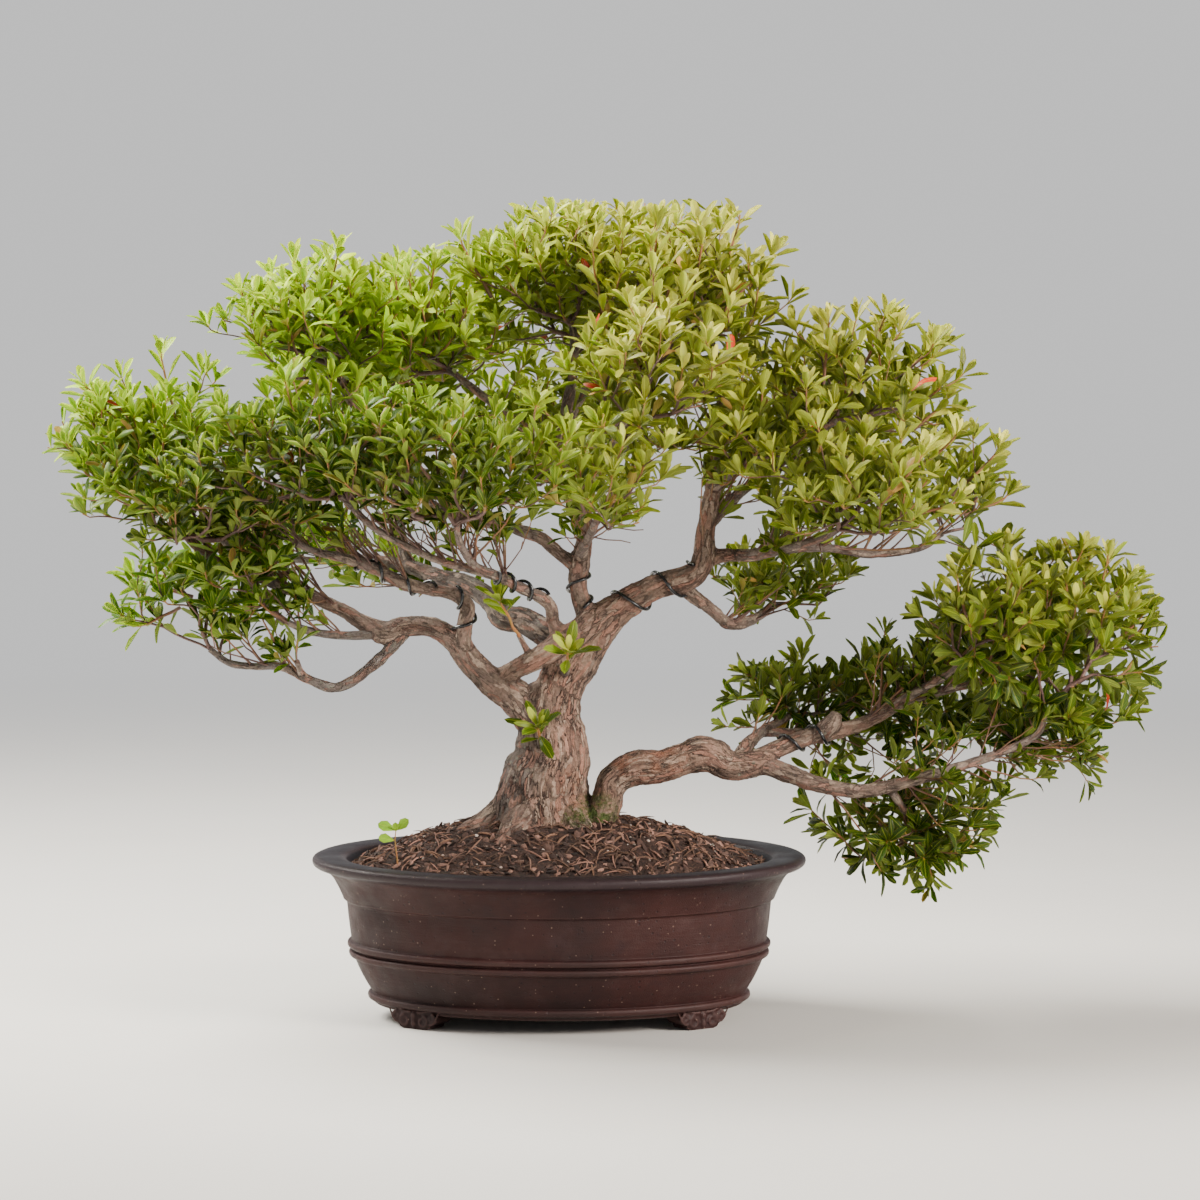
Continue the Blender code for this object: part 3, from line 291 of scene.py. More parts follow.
# Sprays: a name, its limb, and the middle and the half-sizes of its cloud of leaves in mm.
SPRAYS = [
    ("low_right_outer", "low_right_lower", (466, -10, 350), (78, 78, 56)),
    ("low_right_top", "low_right_upper", (430, 20, 372), (60, 60, 45)),
    ("low_right_front", "low_right_middle", (372, -58, 362), (56, 56, 42)),
    ("low_right_under", "low_right_under", (438, 36, 274), (60, 60, 38)),
    ("low_right_hanging", "low_right_hanging", (322, 6, 176), (74, 62, 46)),
    ("low_right_rear", "low_right_rear", (232, 112, 284), (70, 58, 38)),
    ("low_right_back", "low_right_back", (334, 122, 268), (66, 56, 42)),
    ("mid_right_rear", "mid_right_rear", (212, 170, 388), (80, 66, 32)),
    ("right_tip", "right_level", (362, 62, 470), (46, 58, 50)),
    ("right_shoulder", "right_shoulder", (275, 0, 580), (82, 82, 54)),
    ("right_front", "right_front", (262, -122, 480), (82, 72, 50)),
    ("right_inner", "right_inner", (178, -60, 536), (56, 60, 50)),
    ("right_back", "right_back", (238, 178, 524), (84, 78, 58)),
    ("apex_right", "right_limb", (128, 0, 664), (62, 76, 60)),
    ("apex_left", "central", (2, 24, 674), (78, 74, 54)),
    ("apex_front", "apex_front", (72, -124, 590), (70, 66, 64)),
    ("apex_back", "apex_back", (64, 150, 652), (96, 76, 66)),
    ("crown_left", "crown_left", (-222, 0, 626), (74, 80, 56)),
    ("crown_inner", "left_inner", (-116, 20, 618), (54, 66, 48)),
    ("crown_back", "crown_back", (-170, 182, 580), (98, 78, 58)),
    ("left_front", "front_far_left", (-214, -132, 524), (84, 70, 52)),
    ("centre_front", "front_left", (-90, -188, 508), (76, 66, 52)),
    ("far_left", "left_stem", (-378, -20, 522), (80, 76, 54)),
    ("left_middle", "left_middle", (-318, -94, 470), (74, 70, 44)),
    ("left_wired", "left_wired", (-264, -84, 470), (50, 60, 40)),
    ("left_low", "left_drooping", (-336, 0, 380), (58, 62, 48)),
    ("left_low_front", "left_low_thin", (-284, -36, 408), (46, 50, 34)),
    ("left_low_back", "rear_left", (-270, 142, 418), (82, 68, 42)),
    ("left_back_under", "rear_under", (-126, 150, 384), (56, 52, 26)),
    ("centre_low_front", "centre_low_front", (38, -168, 488), (60, 58, 44)),
    ("back_middle", "back_middle", (2, 226, 516), (98, 66, 58)),
    ("droop_twig", "droop_twig", (-239, -64, 350), (22, 22, 22)),
    ("apex_shoot", "apex_shoot", (82, -60, 640), (26, 26, 90)),
]

# Whorls that reach past their spray's cloud, as (x, y, z) in mm: the plant's outermost and topmost leaves.
REACHING_WHORLS = {
    "far_left": [(-432, -24, 512), (-392, -10, 580)],
    "low_right_outer": [(514, -8, 336), (470, -20, 398)],
    "apex_shoot": [(86, -62, 718)],
    "apex_right": [(150, 4, 716)],
    "low_right_hanging": [
        (343, 8, 146), (226, -6, 190), (250, -12, 168), (268, 6, 186), (296, -16, 152), (372, -10, 156),
        (320, -28, 172), (384, 0, 186), (238, 10, 214), (276, -24, 200),
    ],
}

# Young shoots on the trunk: a name, its limb and its whorl's place (x, y, z) in mm.
TRUNK_SHOOTS = [
    ("trunk_shoot_low", "low_shoot", (-18, -84, 272)),
    ("trunk_shoot_high", "high_shoot", (9, -72, 338)),
    ("trunk_shoot_left", "left_shoot", (-52, -62, 384)),
]

# Training wires: a name, its limb, where its coil starts and ends along the limb in mm, its turns and the
# angle of its first turn in degrees.
WIRES = [
    ("wire_left_stub", "left_wired", 24, 70, 1.75, 200),
    ("wire_left_branch", "left_wired", 88, 166, 2.75, 30),
    ("wire_front_branch", "front_left", 52, 124, 3.0, 60),
    ("wire_right_limb", "right_limb", 108, 192, 2.25, 250),
    ("wire_low_right", "low_right_upper", 20, 70, 2.0, 120),
    ("wire_central", "central", 29, 66, 1.5, 0),
]

# Round spots of moss and of orange-flushed bark, as a middle and a radius in mm, and the seedling's place.
MOSS_SPOTS = [((34, -26, 186), 26), ((50, -24, 172), 20), ((16, -38, 184), 15), ((58, 6, 172), 20)]
FLUSH_SPOTS = [((22, -40, 208), 26), ((96, -20, 232), 26), ((60, -20, 232), 16)]
SEEDLING_FOOT = (-143, -62, 146)

# Limbs with grey bark and with pinkish bark, how far left in mm the trunk turns grey, and the radius from
# which bark is at its roughest.
GREY_LIMBS = ("rear_left", "rear_under", "crown_back", "left_drooping", "left_low_thin", "left_middle")
PINK_LIMBS = ("right_limb", "low_right", "low_right_upper", "cross_limb", "right_level")
GREY_SIDE = -18.0
STOUT_RADIUS = 24 * MM

# Wood isn't built below this height in mm. A wire has this many steps a turn, and looks for the bark from
# this far off its limb in mm.
BURIED_BELOW = 136.0
WIRE_STEPS = 26
WIRE_SEARCH = 9.0

# Between which places leaves turn from green at the left to grey-olive at the right, and between which
# heights they go from painted shade low down to painted light high up, in mm.
TINT_LEFT = -150.0
TINT_RIGHT = 60.0
PAINTED_SHADE_HEIGHT = 330.0
PAINTED_LIGHT_HEIGHT = 640.0


# Properties
def paint(red, green, blue):
    """Return a colour seen on a screen, 0 to 255, as the linear colour that a shader takes."""
    values = [value / 255.0 for value in (red, green, blue)]
    return tuple(v / 12.92 if v <= 0.04045 else ((v + 0.055) / 1.055) ** 2.4 for v in values) + (1.0,)


def number(name, description, default, **more):
    """A number that can be changed in the panel."""
    return bpy.props.FloatProperty(name=name, description=description, default=default, **more)


def length(name, description, default):
    """A length, listed in millimetres."""
    return number(name, description, default * MM, unit="LENGTH", subtype="DISTANCE", precision=5)


def share(name, description, default):
    """A share between none and all."""
    return number(name, description, default, min=0.0, max=1.0, subtype="FACTOR")


def count(name, description, default):
    """A whole number of things."""
    return bpy.props.IntProperty(name=name, description=description, default=default, min=1)


def colour(name, description, *default):
    """A colour, listed as it looks on a screen."""
    return bpy.props.FloatVectorProperty(
        name=name, description=description, default=paint(*default), size=4, min=0.0, max=1.0,
        subtype="COLOR")


class PotSettings(bpy.types.PropertyGroup):
    """Sizes and colours of the pot and what fills it."""
    sides: count("Sides", "How many sides the turned pot has", 144)
    lip_half_length: length("Lip half-length", "Half the pot's length over its lip", 223.5)
    less_deep: length("Less deep", "How much less the pot's half-depth is than its half-length", 53.0)
    foot_voxel: length("Foot grain", "The finest detail of the carved feet", 1.1)
    clay: colour("Clay", "The fired clay's body colour", 36, 22, 22)
    clay_red: colour("Reddish clay", "The clay where the fire turned it redder", 52, 27, 25)
    lip_sheen: colour("Lip", "The smoother, bluish clay of the lip", 28, 22, 28)


class MulchSettings(bpy.types.PropertyGroup):
    """Amounts and colours of the mulch, the grit and the moss."""
    fibres: count("Fibres", "Strands of bark fibre for each square decimetre", 130)
    chips: count("Chips", "Flat bark chips for each square decimetre", 230)
    grit: count("Grit", "Small stones for each square decimetre", 34)
    tufts: count("Moss tufts", "Tufts of moss for each square decimetre", 900)
    dark: colour("Dark bark", "The dark lumps of the mulch", 38, 25, 21)
    fibre: colour("Fibre", "The tan strands of the mulch", 142, 104, 82)
    fibre_pink: colour("Pink fibre", "The fresher, pinkish strands", 172, 126, 108)
    grit_pale: colour("Grit", "The pale stones in the mulch", 196, 184, 172)
    moss: colour("Moss", "The moss at the trunk's foot", 74, 92, 30)


class WoodSettings(bpy.types.PropertyGroup):
    """Sizes and colours of the trunk, limbs and twigs."""
    grain: length("Wood grain", "The finest detail of the thick wood", 2.0)
    thick: length("Thick wood", "Limbs above this radius are one body with the trunk", 5.8)
    fissure: length("Fissures", "How deep the bark's fissures are", 1.5)
    lump: length("Lumps", "How far the wood swells and sinks", 2.6)
    bark: colour("Bark", "The bark's main colour", 156, 128, 108)
    bark_pink: colour("Pink bark", "Fresh flakes of bark", 188, 140, 120)
    bark_grey: colour("Grey bark", "Smooth grey bark", 142, 129, 123)
    # The cracks' colour is partly their own dark and partly painted shade in them.
    crack: colour("Cracks", "The dark of the bark's cracks", 62, 44, 38)
    lichen: colour("Lichen", "Grey-green lichen", 150, 152, 132)
    twig: colour("Twig", "The twigs' purple-brown", 76, 50, 49)
    shoot: colour("Shoot", "Young orange-brown shoots", 172, 104, 62)
    wire: colour("Wire", "The dark anodised training wire", 16, 17, 22)
    wire_radius: length("Wire radius", "The training wire's radius", 1.5)
    wire_clearance: length("Wire clearance", "The room between the wire and the bark", 0.5)


class LeafSettings(bpy.types.PropertyGroup):
    """Sizes and colours of the leaves."""
    spacing: length("Whorl spacing", "The least distance between two whorls of leaves", 18.5)
    between: length("Loose spacing", "The least distance between whorls that grow between two clouds", 22.0)
    fill: share("Fill", "How much of a cloud its whorls take up", 0.62)
    long: length("Leaf length", "A grown leaf's length", 26.5)
    wide: share("Leaf width", "A leaf's width as a share of its length", 0.31)
    opened: number("Openness", "How much larger and further apart the whorls on the right are", 1.17)
    # Fresh is partly young leaves and partly a painted glow of light from behind at the top left.
    fresh: colour("Fresh leaf", "Young leaves at the top left", 204, 232, 0)
    mid: colour("Leaf", "Grown leaves", 100, 156, 6)
    dark: colour("Dark leaf", "Leaves in the shade", 44, 82, 12)
    olive: colour("Olive leaf", "Leaves on the right", 156, 160, 46)
    # Pale is partly young leaves and partly painted highlights on the right.
    pale: colour("Pale leaf", "The palest leaves on the right", 228, 222, 112)
    old: colour("Old leaf", "Old leaves before they fall", 196, 140, 84)
    red: colour("Red leaf", "The few leaves that turn red", 190, 44, 30)


class StageSettings(bpy.types.PropertyGroup):
    """The camera, the floor and the lights."""
    lens: number("Lens", "The camera's focal length in mm", 160.0)
    floor: colour("Floor", "The plain pale floor", 212, 209, 204)
    horizon: colour("Horizon", "The pale surroundings low down, into which the floor fades", 228, 228, 228)
    key: number("Key light", "Power of the large light at the left, high and behind", 250.0, unit="POWER")
    fill: number("Fill light", "Power of the warm light at the front right", 150.0, unit="POWER")
    sky: number("Sky", "Strength of the light from overhead", 0.27)


class BonsaiSettings(bpy.types.PropertyGroup):
    """All that a user can change."""
    pot: bpy.props.PointerProperty(type=PotSettings, name="Pot", description="The pot")
    mulch: bpy.props.PointerProperty(type=MulchSettings, name="Mulch", description="The mulch")
    wood: bpy.props.PointerProperty(type=WoodSettings, name="Wood", description="The wood")
    leaf: bpy.props.PointerProperty(type=LeafSettings, name="Leaves", description="The leaves")
    stage: bpy.props.PointerProperty(type=StageSettings, name="Stage", description="The stage")


def settings():
    """Return the scene's settings."""
    return bpy.context.scene.bonsai


# Small helpers
def clamped(value, low=0.0, high=1.0):
    """Hold a value between two ends."""
    return max(low, min(high, value))


def around(first, second, angle):
    """Return the direction at an angle from one square direction to another."""
    return first * math.cos(angle) + second * math.sin(angle)


def random_direction(rng):
    """Return a direction, each as likely as another."""
    return Vector([rng.gauss(0.0, 1.0) for _ in range(3)]).normalized()


def nudge(rng, reach):
    """Return a random step of up to a reach along each axis."""
    return Vector([rng.uniform(-reach, reach) for _ in range(3)])


# Meshes and pieces
def place(point):
    """Return a listed (x, y, z) in the frame's metres."""
    return POT_MIDDLE + Vector(point[:3]) * MM


def added(name, data):
    """Put an object with this data in the scene."""
    thing = bpy.data.objects.new(name, data)
    bpy.context.scene.collection.objects.link(thing)
    return thing


def mesh_object(name, vertices, faces, edges=()):
    """Put a mesh made of these vertices and faces in the scene."""
    mesh = bpy.data.meshes.new(name)
    mesh.from_pydata(vertices, edges, faces)
    mesh.update()
    return added(name, mesh)


def shape_object(name, shape):
    """Put a bmesh in the scene."""
    mesh = bpy.data.meshes.new(name)
    shape.to_mesh(mesh)
    shape.free()
    return added(name, mesh)


def give(thing, name, kind, values):
    """Give a mesh's points a named attribute."""
    attribute = thing.data.attributes.new(name, kind, "POINT")
    field = {"FLOAT_VECTOR": "vector", "FLOAT_COLOR": "color"}.get(kind, "value")
    number_type = np.int32 if kind == "INT" else np.float32
    attribute.data.foreach_set(field, np.asarray(values, dtype=number_type).ravel())


def plain_mesh(thing):
    """Swap an object's mesh for its evaluated mesh and drop its modifiers."""
    bpy.context.view_layer.update()
    graph = bpy.context.evaluated_depsgraph_get()
    mesh = bpy.data.meshes.new_from_object(
        thing.evaluated_get(graph), preserve_all_data_layers=True, depsgraph=graph)
    thing.modifiers.clear()
    thing.data = mesh
    return thing


def joined(name, things):
    """Join objects in one."""
    with bpy.context.temp_override(active_object=things[0], selected_editable_objects=things):
        bpy.ops.object.join()
    things[0].name = name
    return things[0]


def remove(things):
    """Drop objects that only helped to make others."""
    for thing in things:
        bpy.data.objects.remove(thing)


def coordinates(thing):
    """Return a mesh's points as rows of numbers."""
    rows = np.empty(len(thing.data.vertices) * 3)
    thing.data.vertices.foreach_get("co", rows)
    return rows.reshape(-1, 3)


def set_coordinates(thing, rows):
    """Move a mesh's points."""
    thing.data.vertices.foreach_set("co", rows.ravel())
    thing.data.update()


def finish_with(thing, material):
    """Give an object its one material."""
    thing.data.materials.clear()
    thing.data.materials.append(material)


def piece(thing, slot, material, *nodes, smooth=True):
    """Finish a piece: its material, the body it rides on and the nodes it stands for. The slot is not used.
    """
    if material:
        finish_with(thing, material)
    if smooth:
        thing.data.shade_smooth()
        thing.data.set_sharp_from_angle(angle=math.radians(50.0))
    if not len(thing.data.polygons):
        raise RuntimeError(f"{thing.name} has no faces")
    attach(thing, "root")
    if nodes:
        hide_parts(*nodes)


def smooth_rows(rows, step):
    """Return rows of listed numbers, curved smoothly through the list and about a step apart."""
    points = np.array(rows, float)
    padded = np.vstack([2 * points[0] - points[1], points, 2 * points[-1] - points[-2]])
    curved = []
    for index in range(len(points) - 1):
        before, start, end, after = padded[index:index + 4]
        parts = max(1, round(float(np.linalg.norm(end[:3] - start[:3])) / step))
        for part in range(parts):
            t = part / parts
            curved.append(0.5 * (2 * start + (end - before) * t
                                 + (2 * before - 5 * start + 4 * end - after) * t ** 2
                                 + (3 * start - before - 3 * end + after) * t ** 3))
    curved.append(points[-1])
    return np.array(curved)


def along_rows(rows):
    """Return the distance along smoothed rows at each of them."""
    steps = np.linalg.norm(np.diff(rows[:, :3], axis=0), axis=1)
    return np.concatenate([[0.0], np.cumsum(steps)])


def frames_along(points):
    """Return the direction and two square directions at each point, carried along without twisting."""
    directions = [(points[min(i + 1, len(points) - 1)] - points[max(i - 1, 0)]).normalized()
                  for i in range(len(points))]
    across = directions[0].orthogonal().normalized()
    frames = []
    for direction in directions:
        across = (across - direction * across.dot(direction)).normalized()
        frames.append((direction, across, direction.cross(across)))
    return frames


# Node trees
def new_tree(name, inputs):
    """Start a geometry node tree with named inputs, and return it with its first and last nodes."""
    tree = bpy.data.node_groups.new(name, "GeometryNodeTree")
    tree.interface.new_socket("Geometry", in_out="INPUT", socket_type="NodeSocketGeometry")
    tree.interface.new_socket("Geometry", in_out="OUTPUT", socket_type="NodeSocketGeometry")
    for label, kind in inputs:
        tree.interface.new_socket(label, in_out="INPUT", socket_type="NodeSocket" + kind)
    return tree, tree.nodes.new("NodeGroupInput"), tree.nodes.new("NodeGroupOutput")


def put(tree, kind, inputs=(), **properties):
    """Add a node, set its properties and feed its inputs with values or with other nodes' outputs."""
    node = tree.nodes.new(kind)
    for key, value in properties.items():
        setattr(node, key, value)
    for key, value in dict(inputs).items():
        if isinstance(value, bpy.types.NodeSocket):
            tree.links.new(value, node.inputs[key])
        else:
            node.inputs[key].default_value = value
    return node


def named(tree, name, data_type):
    """Read a named attribute."""
    node = put(tree, "GeometryNodeInputNamedAttribute", {"Name": name}, data_type=data_type)
    return node.outputs["Attribute"]


def sum_of(tree, first, second, operation="ADD"):
    """Add two values, or join them by another sum."""
    return put(tree, "ShaderNodeMath", {0: first, 1: second}, operation=operation).outputs[0]


def product(tree, first, second):
    """Multiply two values."""
    return sum_of(tree, first, second, "MULTIPLY")


def run_tree(thing, tree, **values):
    """Run a geometry node tree on an object, which keeps the plain mesh that comes out."""
    modifier = thing.modifiers.new(tree.name, "NODES")
    modifier.node_group = tree
    for item in tree.interface.items_tree:
        label = item.name.lower().replace(" ", "_")
        if item.in_out == "INPUT" and label in values:
            modifier[item.identifier] = values[label]
    plain_mesh(thing)


def end_tree(tree, first, last, geometry):
    """Close a tree: all instances made real, and the material set."""
    real = put(tree, "GeometryNodeRealizeInstances", {"Geometry": geometry})
    painted = put(tree, "GeometryNodeSetMaterial",
                  {"Geometry": real.outputs[0], "Material": first.outputs["Material"]})
    tree.links.new(painted.outputs[0], last.inputs[0])
    return tree


def tubes_tree():
    """Round tubes along a mesh's chains of edges, as thick as their points say."""
    tree, first, last = new_tree("tubes", [("Sides", "Int"), ("Material", "Material")])
    paths = put(tree, "GeometryNodeMeshToCurve", {"Mesh": first.outputs["Geometry"]})
    ring = put(tree, "GeometryNodeCurvePrimitiveCircle", {
        "Resolution": first.outputs["Sides"], "Radius": 1.0})
    tubes = put(tree, "GeometryNodeCurveToMesh", {
        "Curve": paths.outputs[0], "Profile Curve": ring.outputs[0],
        "Scale": named(tree, "thickness", "FLOAT"), "Fill Caps": True})
    return end_tree(tree, first, last, tubes.outputs[0])


def leaves_tree():
    """A leaf on every point: its shape, turn and size come from the point, and so does its colour."""
    labels = ("Flat leaf", "Curled leaf", "Folded leaf")
    inputs = [(label, "Object") for label in labels] + [("Material", "Material")]
    tree, first, last = new_tree("leaves", inputs)
    shapes = put(tree, "GeometryNodeJoinGeometry")
    for label in labels:
        shape = put(tree, "GeometryNodeObjectInfo", {"Object": first.outputs[label], "As Instance": True})
        tree.links.new(shape.outputs["Geometry"], shapes.inputs[0])
    turn = put(tree, "FunctionNodeEulerToRotation", {"Euler": named(tree, "turn", "FLOAT_VECTOR")})
    leaves = put(tree, "GeometryNodeInstanceOnPoints", {
        "Points": first.outputs["Geometry"], "Instance": shapes.outputs[0], "Pick Instance": True,
        "Instance Index": named(tree, "kind", "INT"), "Rotation": turn.outputs[0],
        "Scale": named(tree, "size", "FLOAT_VECTOR")})
    return end_tree(tree, first, last, leaves.outputs[0])


def litter_tree():
    """Small things scattered over a surface, lying along it at any turn, each with its own shade."""
    tree, first, last = new_tree("litter", [
        ("Shapes", "Collection"), ("Density", "Float"), ("Smallest", "Float"), ("Largest", "Float"),
        ("Tilt", "Float"), ("Sink", "Float"), ("Seed", "Int"), ("Material", "Material")])
    given = first.outputs
    density = product(tree, given["Density"], named(tree, "cover", "FLOAT"))
    spots = put(tree, "GeometryNodeDistributePointsOnFaces", {
        "Mesh": given["Geometry"], "Density": density, "Seed": given["Seed"]})
    away = put(tree, "ShaderNodeVectorMath", {
        0: spots.outputs["Normal"], "Scale": product(tree, given["Sink"], -1.0)}, operation="SCALE")
    sunk = put(tree, "GeometryNodeSetPosition", {
        "Geometry": spots.outputs["Points"], "Offset": away.outputs[0]})
    shapes = put(tree, "GeometryNodeCollectionInfo", {
        "Collection": given["Shapes"], "Separate Children": True, "Reset Children": True})
    against = product(tree, given["Tilt"], -1.0)
    least = put(tree, "ShaderNodeCombineXYZ", {"X": against, "Y": against, "Z": -math.pi})
    most = put(tree, "ShaderNodeCombineXYZ", {"X": given["Tilt"], "Y": given["Tilt"], "Z": math.pi})
    spin = put(tree, "FunctionNodeRandomValue", {
        "Min": least.outputs[0], "Max": most.outputs[0], "Seed": given["Seed"]}, data_type="FLOAT_VECTOR")
    turn = put(tree, "FunctionNodeRotateRotation", {
        "Rotation": spots.outputs["Rotation"], "Rotate By": spin.outputs[0]}, rotation_space="LOCAL")
    size = put(tree, "FunctionNodeRandomValue", {
        2: given["Smallest"], 3: given["Largest"], "Seed": given["Seed"]}, data_type="FLOAT")
    things = put(tree, "GeometryNodeInstanceOnPoints", {
        "Points": sunk.outputs[0], "Instance": shapes.outputs[0], "Pick Instance": True,
        "Rotation": turn.outputs[0], "Scale": size.outputs[1]})
    shade = put(tree, "FunctionNodeRandomValue", {"Seed": 7}, data_type="FLOAT")
    shaded = put(tree, "GeometryNodeStoreNamedAttribute", {
        "Geometry": things.outputs[0], "Name": "shade", "Value": shade.outputs[1]},
        data_type="FLOAT", domain="INSTANCE")
    return end_tree(tree, first, last, shaded.outputs[0])


# Shader helpers and groups
def new_material(name, roughness=0.6):
    """Start a material and return it with its tree and its shader."""
    material = bpy.data.materials.new(name)
    material.use_nodes = True
    shader = material.node_tree.nodes["Principled BSDF"]
    shader.inputs["Roughness"].default_value = roughness
    return material, material.node_tree, shader


def object_position(tree):
    """Read the place on the piece."""
    return put(tree, "ShaderNodeTexCoord").outputs["Object"]


def attribute(tree, name, output="Fac"):
    """Read a named attribute in a shader."""
    return put(tree, "ShaderNodeAttribute", attribute_name=name).outputs[output]


def noise_at(tree, vector, scale, detail=4.0, roughness=0.55, distortion=0.0):
    """A noise of this many features a metre."""
    return put(tree, "ShaderNodeTexNoise", {
        "Vector": vector, "Scale": scale, "Detail": detail, "Roughness": roughness,
        "Distortion": distortion}).outputs["Fac"]


def ranged(tree, value, low, high, first=0.0, last=1.0):
    """Stretch a value's range, and hold it at its ends."""
    return put(tree, "ShaderNodeMapRange", {
        "Value": value, "From Min": low, "From Max": high, "To Min": first, "To Max": last}).outputs["Result"]


def blend(tree, amount, first, second, kind="MIX"):
    """Blend two colours."""
    node = put(tree, "ShaderNodeMix", {0: amount, 6: first, 7: second}, data_type="RGBA", blend_type=kind)
    return node.outputs[2]


def shader_group(name, inputs, outputs):
    """Start a group of shader nodes with named inputs and outputs."""
    tree = bpy.data.node_groups.new(name, "ShaderNodeTree")
    for label, kind, default in inputs:
        socket = tree.interface.new_socket(label, in_out="INPUT", socket_type="NodeSocket" + kind)
        if default is not None:
            socket.default_value = default
    for label, kind in outputs:
        tree.interface.new_socket(label, in_out="OUTPUT", socket_type="NodeSocket" + kind)
    return tree, tree.nodes.new("NodeGroupInput"), tree.nodes.new("NodeGroupOutput")


def mottle_group():
    """Three colours in soft patches, with a mask of the patches."""
    tree, first, last = shader_group(
        "mottle",
        [("Vector", "Vector", None), ("Scale", "Float", 20.0), ("First", "Color", None),
         ("Second", "Color", None), ("Third", "Color", None), ("Amount", "Float", 1.0)],
        [("Colour", "Color"), ("Mask", "Float")])
    broad = noise_at(tree, first.outputs["Vector"], first.outputs["Scale"], 5.0, 0.62)
    finer = product(tree, first.outputs["Scale"], 4.3)
    fine = noise_at(tree, first.outputs["Vector"], finer, 4.0, 0.6)
    patches = ranged(tree, broad, 0.38, 0.62)
    flecks = product(tree, ranged(tree, fine, 0.54, 0.68), first.outputs["Amount"])
    base = blend(tree, patches, first.outputs["First"], first.outputs["Second"])
    tree.links.new(blend(tree, flecks, base, first.outputs["Third"]), last.inputs["Colour"])
    tree.links.new(patches, last.inputs["Mask"])


def specks_group():
    """A mask of small round specks, at a share of their places."""
    tree, first, last = shader_group(
        "specks", [("Vector", "Vector", None), ("Scale", "Float", 400.0), ("Share", "Float", 0.2)],
        [("Mask", "Float")])
    cells = put(tree, "ShaderNodeTexVoronoi", {
        "Vector": first.outputs["Vector"], "Scale": first.outputs["Scale"]})
    near = ranged(tree, cells.outputs["Distance"], 0.22, 0.34, 1.0, 0.0)
    parted = put(tree, "ShaderNodeSeparateColor", {"Color": cells.outputs["Color"]})
    chosen = sum_of(tree, parted.outputs[0], first.outputs["Share"], "LESS_THAN")
    tree.links.new(product(tree, near, chosen), last.inputs["Mask"])


def grouped(tree, group, **values):
    """Place a shared group in a material and return the node."""
    node = tree.nodes.new("ShaderNodeGroup")
    node.node_tree = bpy.data.node_groups[group]
    for key, value in values.items():
        socket = node.inputs[key.capitalize()]
        if isinstance(value, bpy.types.NodeSocket):
            tree.links.new(value, socket)
        else:
            socket.default_value = value
    return node


def relief(tree, shader, height, distance, strength=1.0):
    """Raise and sink the surface by a height."""
    bump = put(tree, "ShaderNodeBump", {"Height": height, "Distance": distance, "Strength": strength})
    tree.links.new(bump.outputs["Normal"], shader.inputs["Normal"])


# Materials
def clay_material():
    """Unglazed stoneware: purple-brown with redder patches, mineral specks, pale dust and worn edges."""
    pot = settings().pot
    material, tree, shader = new_material("fired_clay", 0.55)
    shader.inputs["Specular IOR Level"].default_value = 0.2
    position = object_position(tree)
    body = grouped(tree, "mottle", vector=position, scale=9.0, first=pot.clay[:], second=pot.clay_red[:],
                   third=paint(40, 25, 27), amount=0.5)
    height = put(tree, "ShaderNodeSeparateXYZ", {"Vector": position}).outputs["Z"]
    lip = ranged(tree, height, 0.1345, 0.1385)
    coloured = blend(tree, lip, body.outputs["Colour"], pot.lip_sheen[:])
    specks = grouped(tree, "specks", vector=position, scale=420.0, share=0.03).outputs["Mask"]
    pale = product(tree, specks, 0.4)
    coloured = blend(tree, pale, coloured, paint(150, 126, 112))
    pits = grouped(tree, "specks", vector=position, scale=260.0, share=0.12).outputs["Mask"]
    coloured = blend(tree, product(tree, pits, 0.6), coloured, paint(30, 20, 22))
    drag = put(tree, "ShaderNodeMapping", {"Vector": position, "Scale": (1.0, 1.0, 12.0)}).outputs[0]
    turning = noise_at(tree, drag, 26.0, 5.0, 0.6)
    dust = product(tree, ranged(tree, noise_at(tree, position, 34.0, 6.0, 0.7), 0.52, 0.8, 0.0, 0.16),
                  ranged(tree, turning, 0.35, 0.65, 0.4, 1.0))
    coloured = blend(tree, dust, coloured, paint(110, 92, 90))
    edge = ranged(tree, put(tree, "ShaderNodeNewGeometry").outputs["Pointiness"], 0.505, 0.56, 0.0, 0.4)
    tree.links.new(blend(tree, edge, coloured, paint(104, 78, 74)), shader.inputs["Base Color"])
    gloss = ranged(tree, noise_at(tree, position, 60.0, 4.0), 0.3, 0.7, 0.44, 0.62)
    gloss = blend(tree, lip, gloss, ranged(tree, turning, 0.3, 0.7, 0.34, 0.5))
    tree.links.new(gloss, shader.inputs["Roughness"])
    grain = sum_of(tree, noise_at(tree, position, 900.0, 3.0), product(tree, turning, 1.4))
    relief(tree, shader, sum_of(tree, grain, pits, "SUBTRACT"), 0.0006, 0.55)
    return material


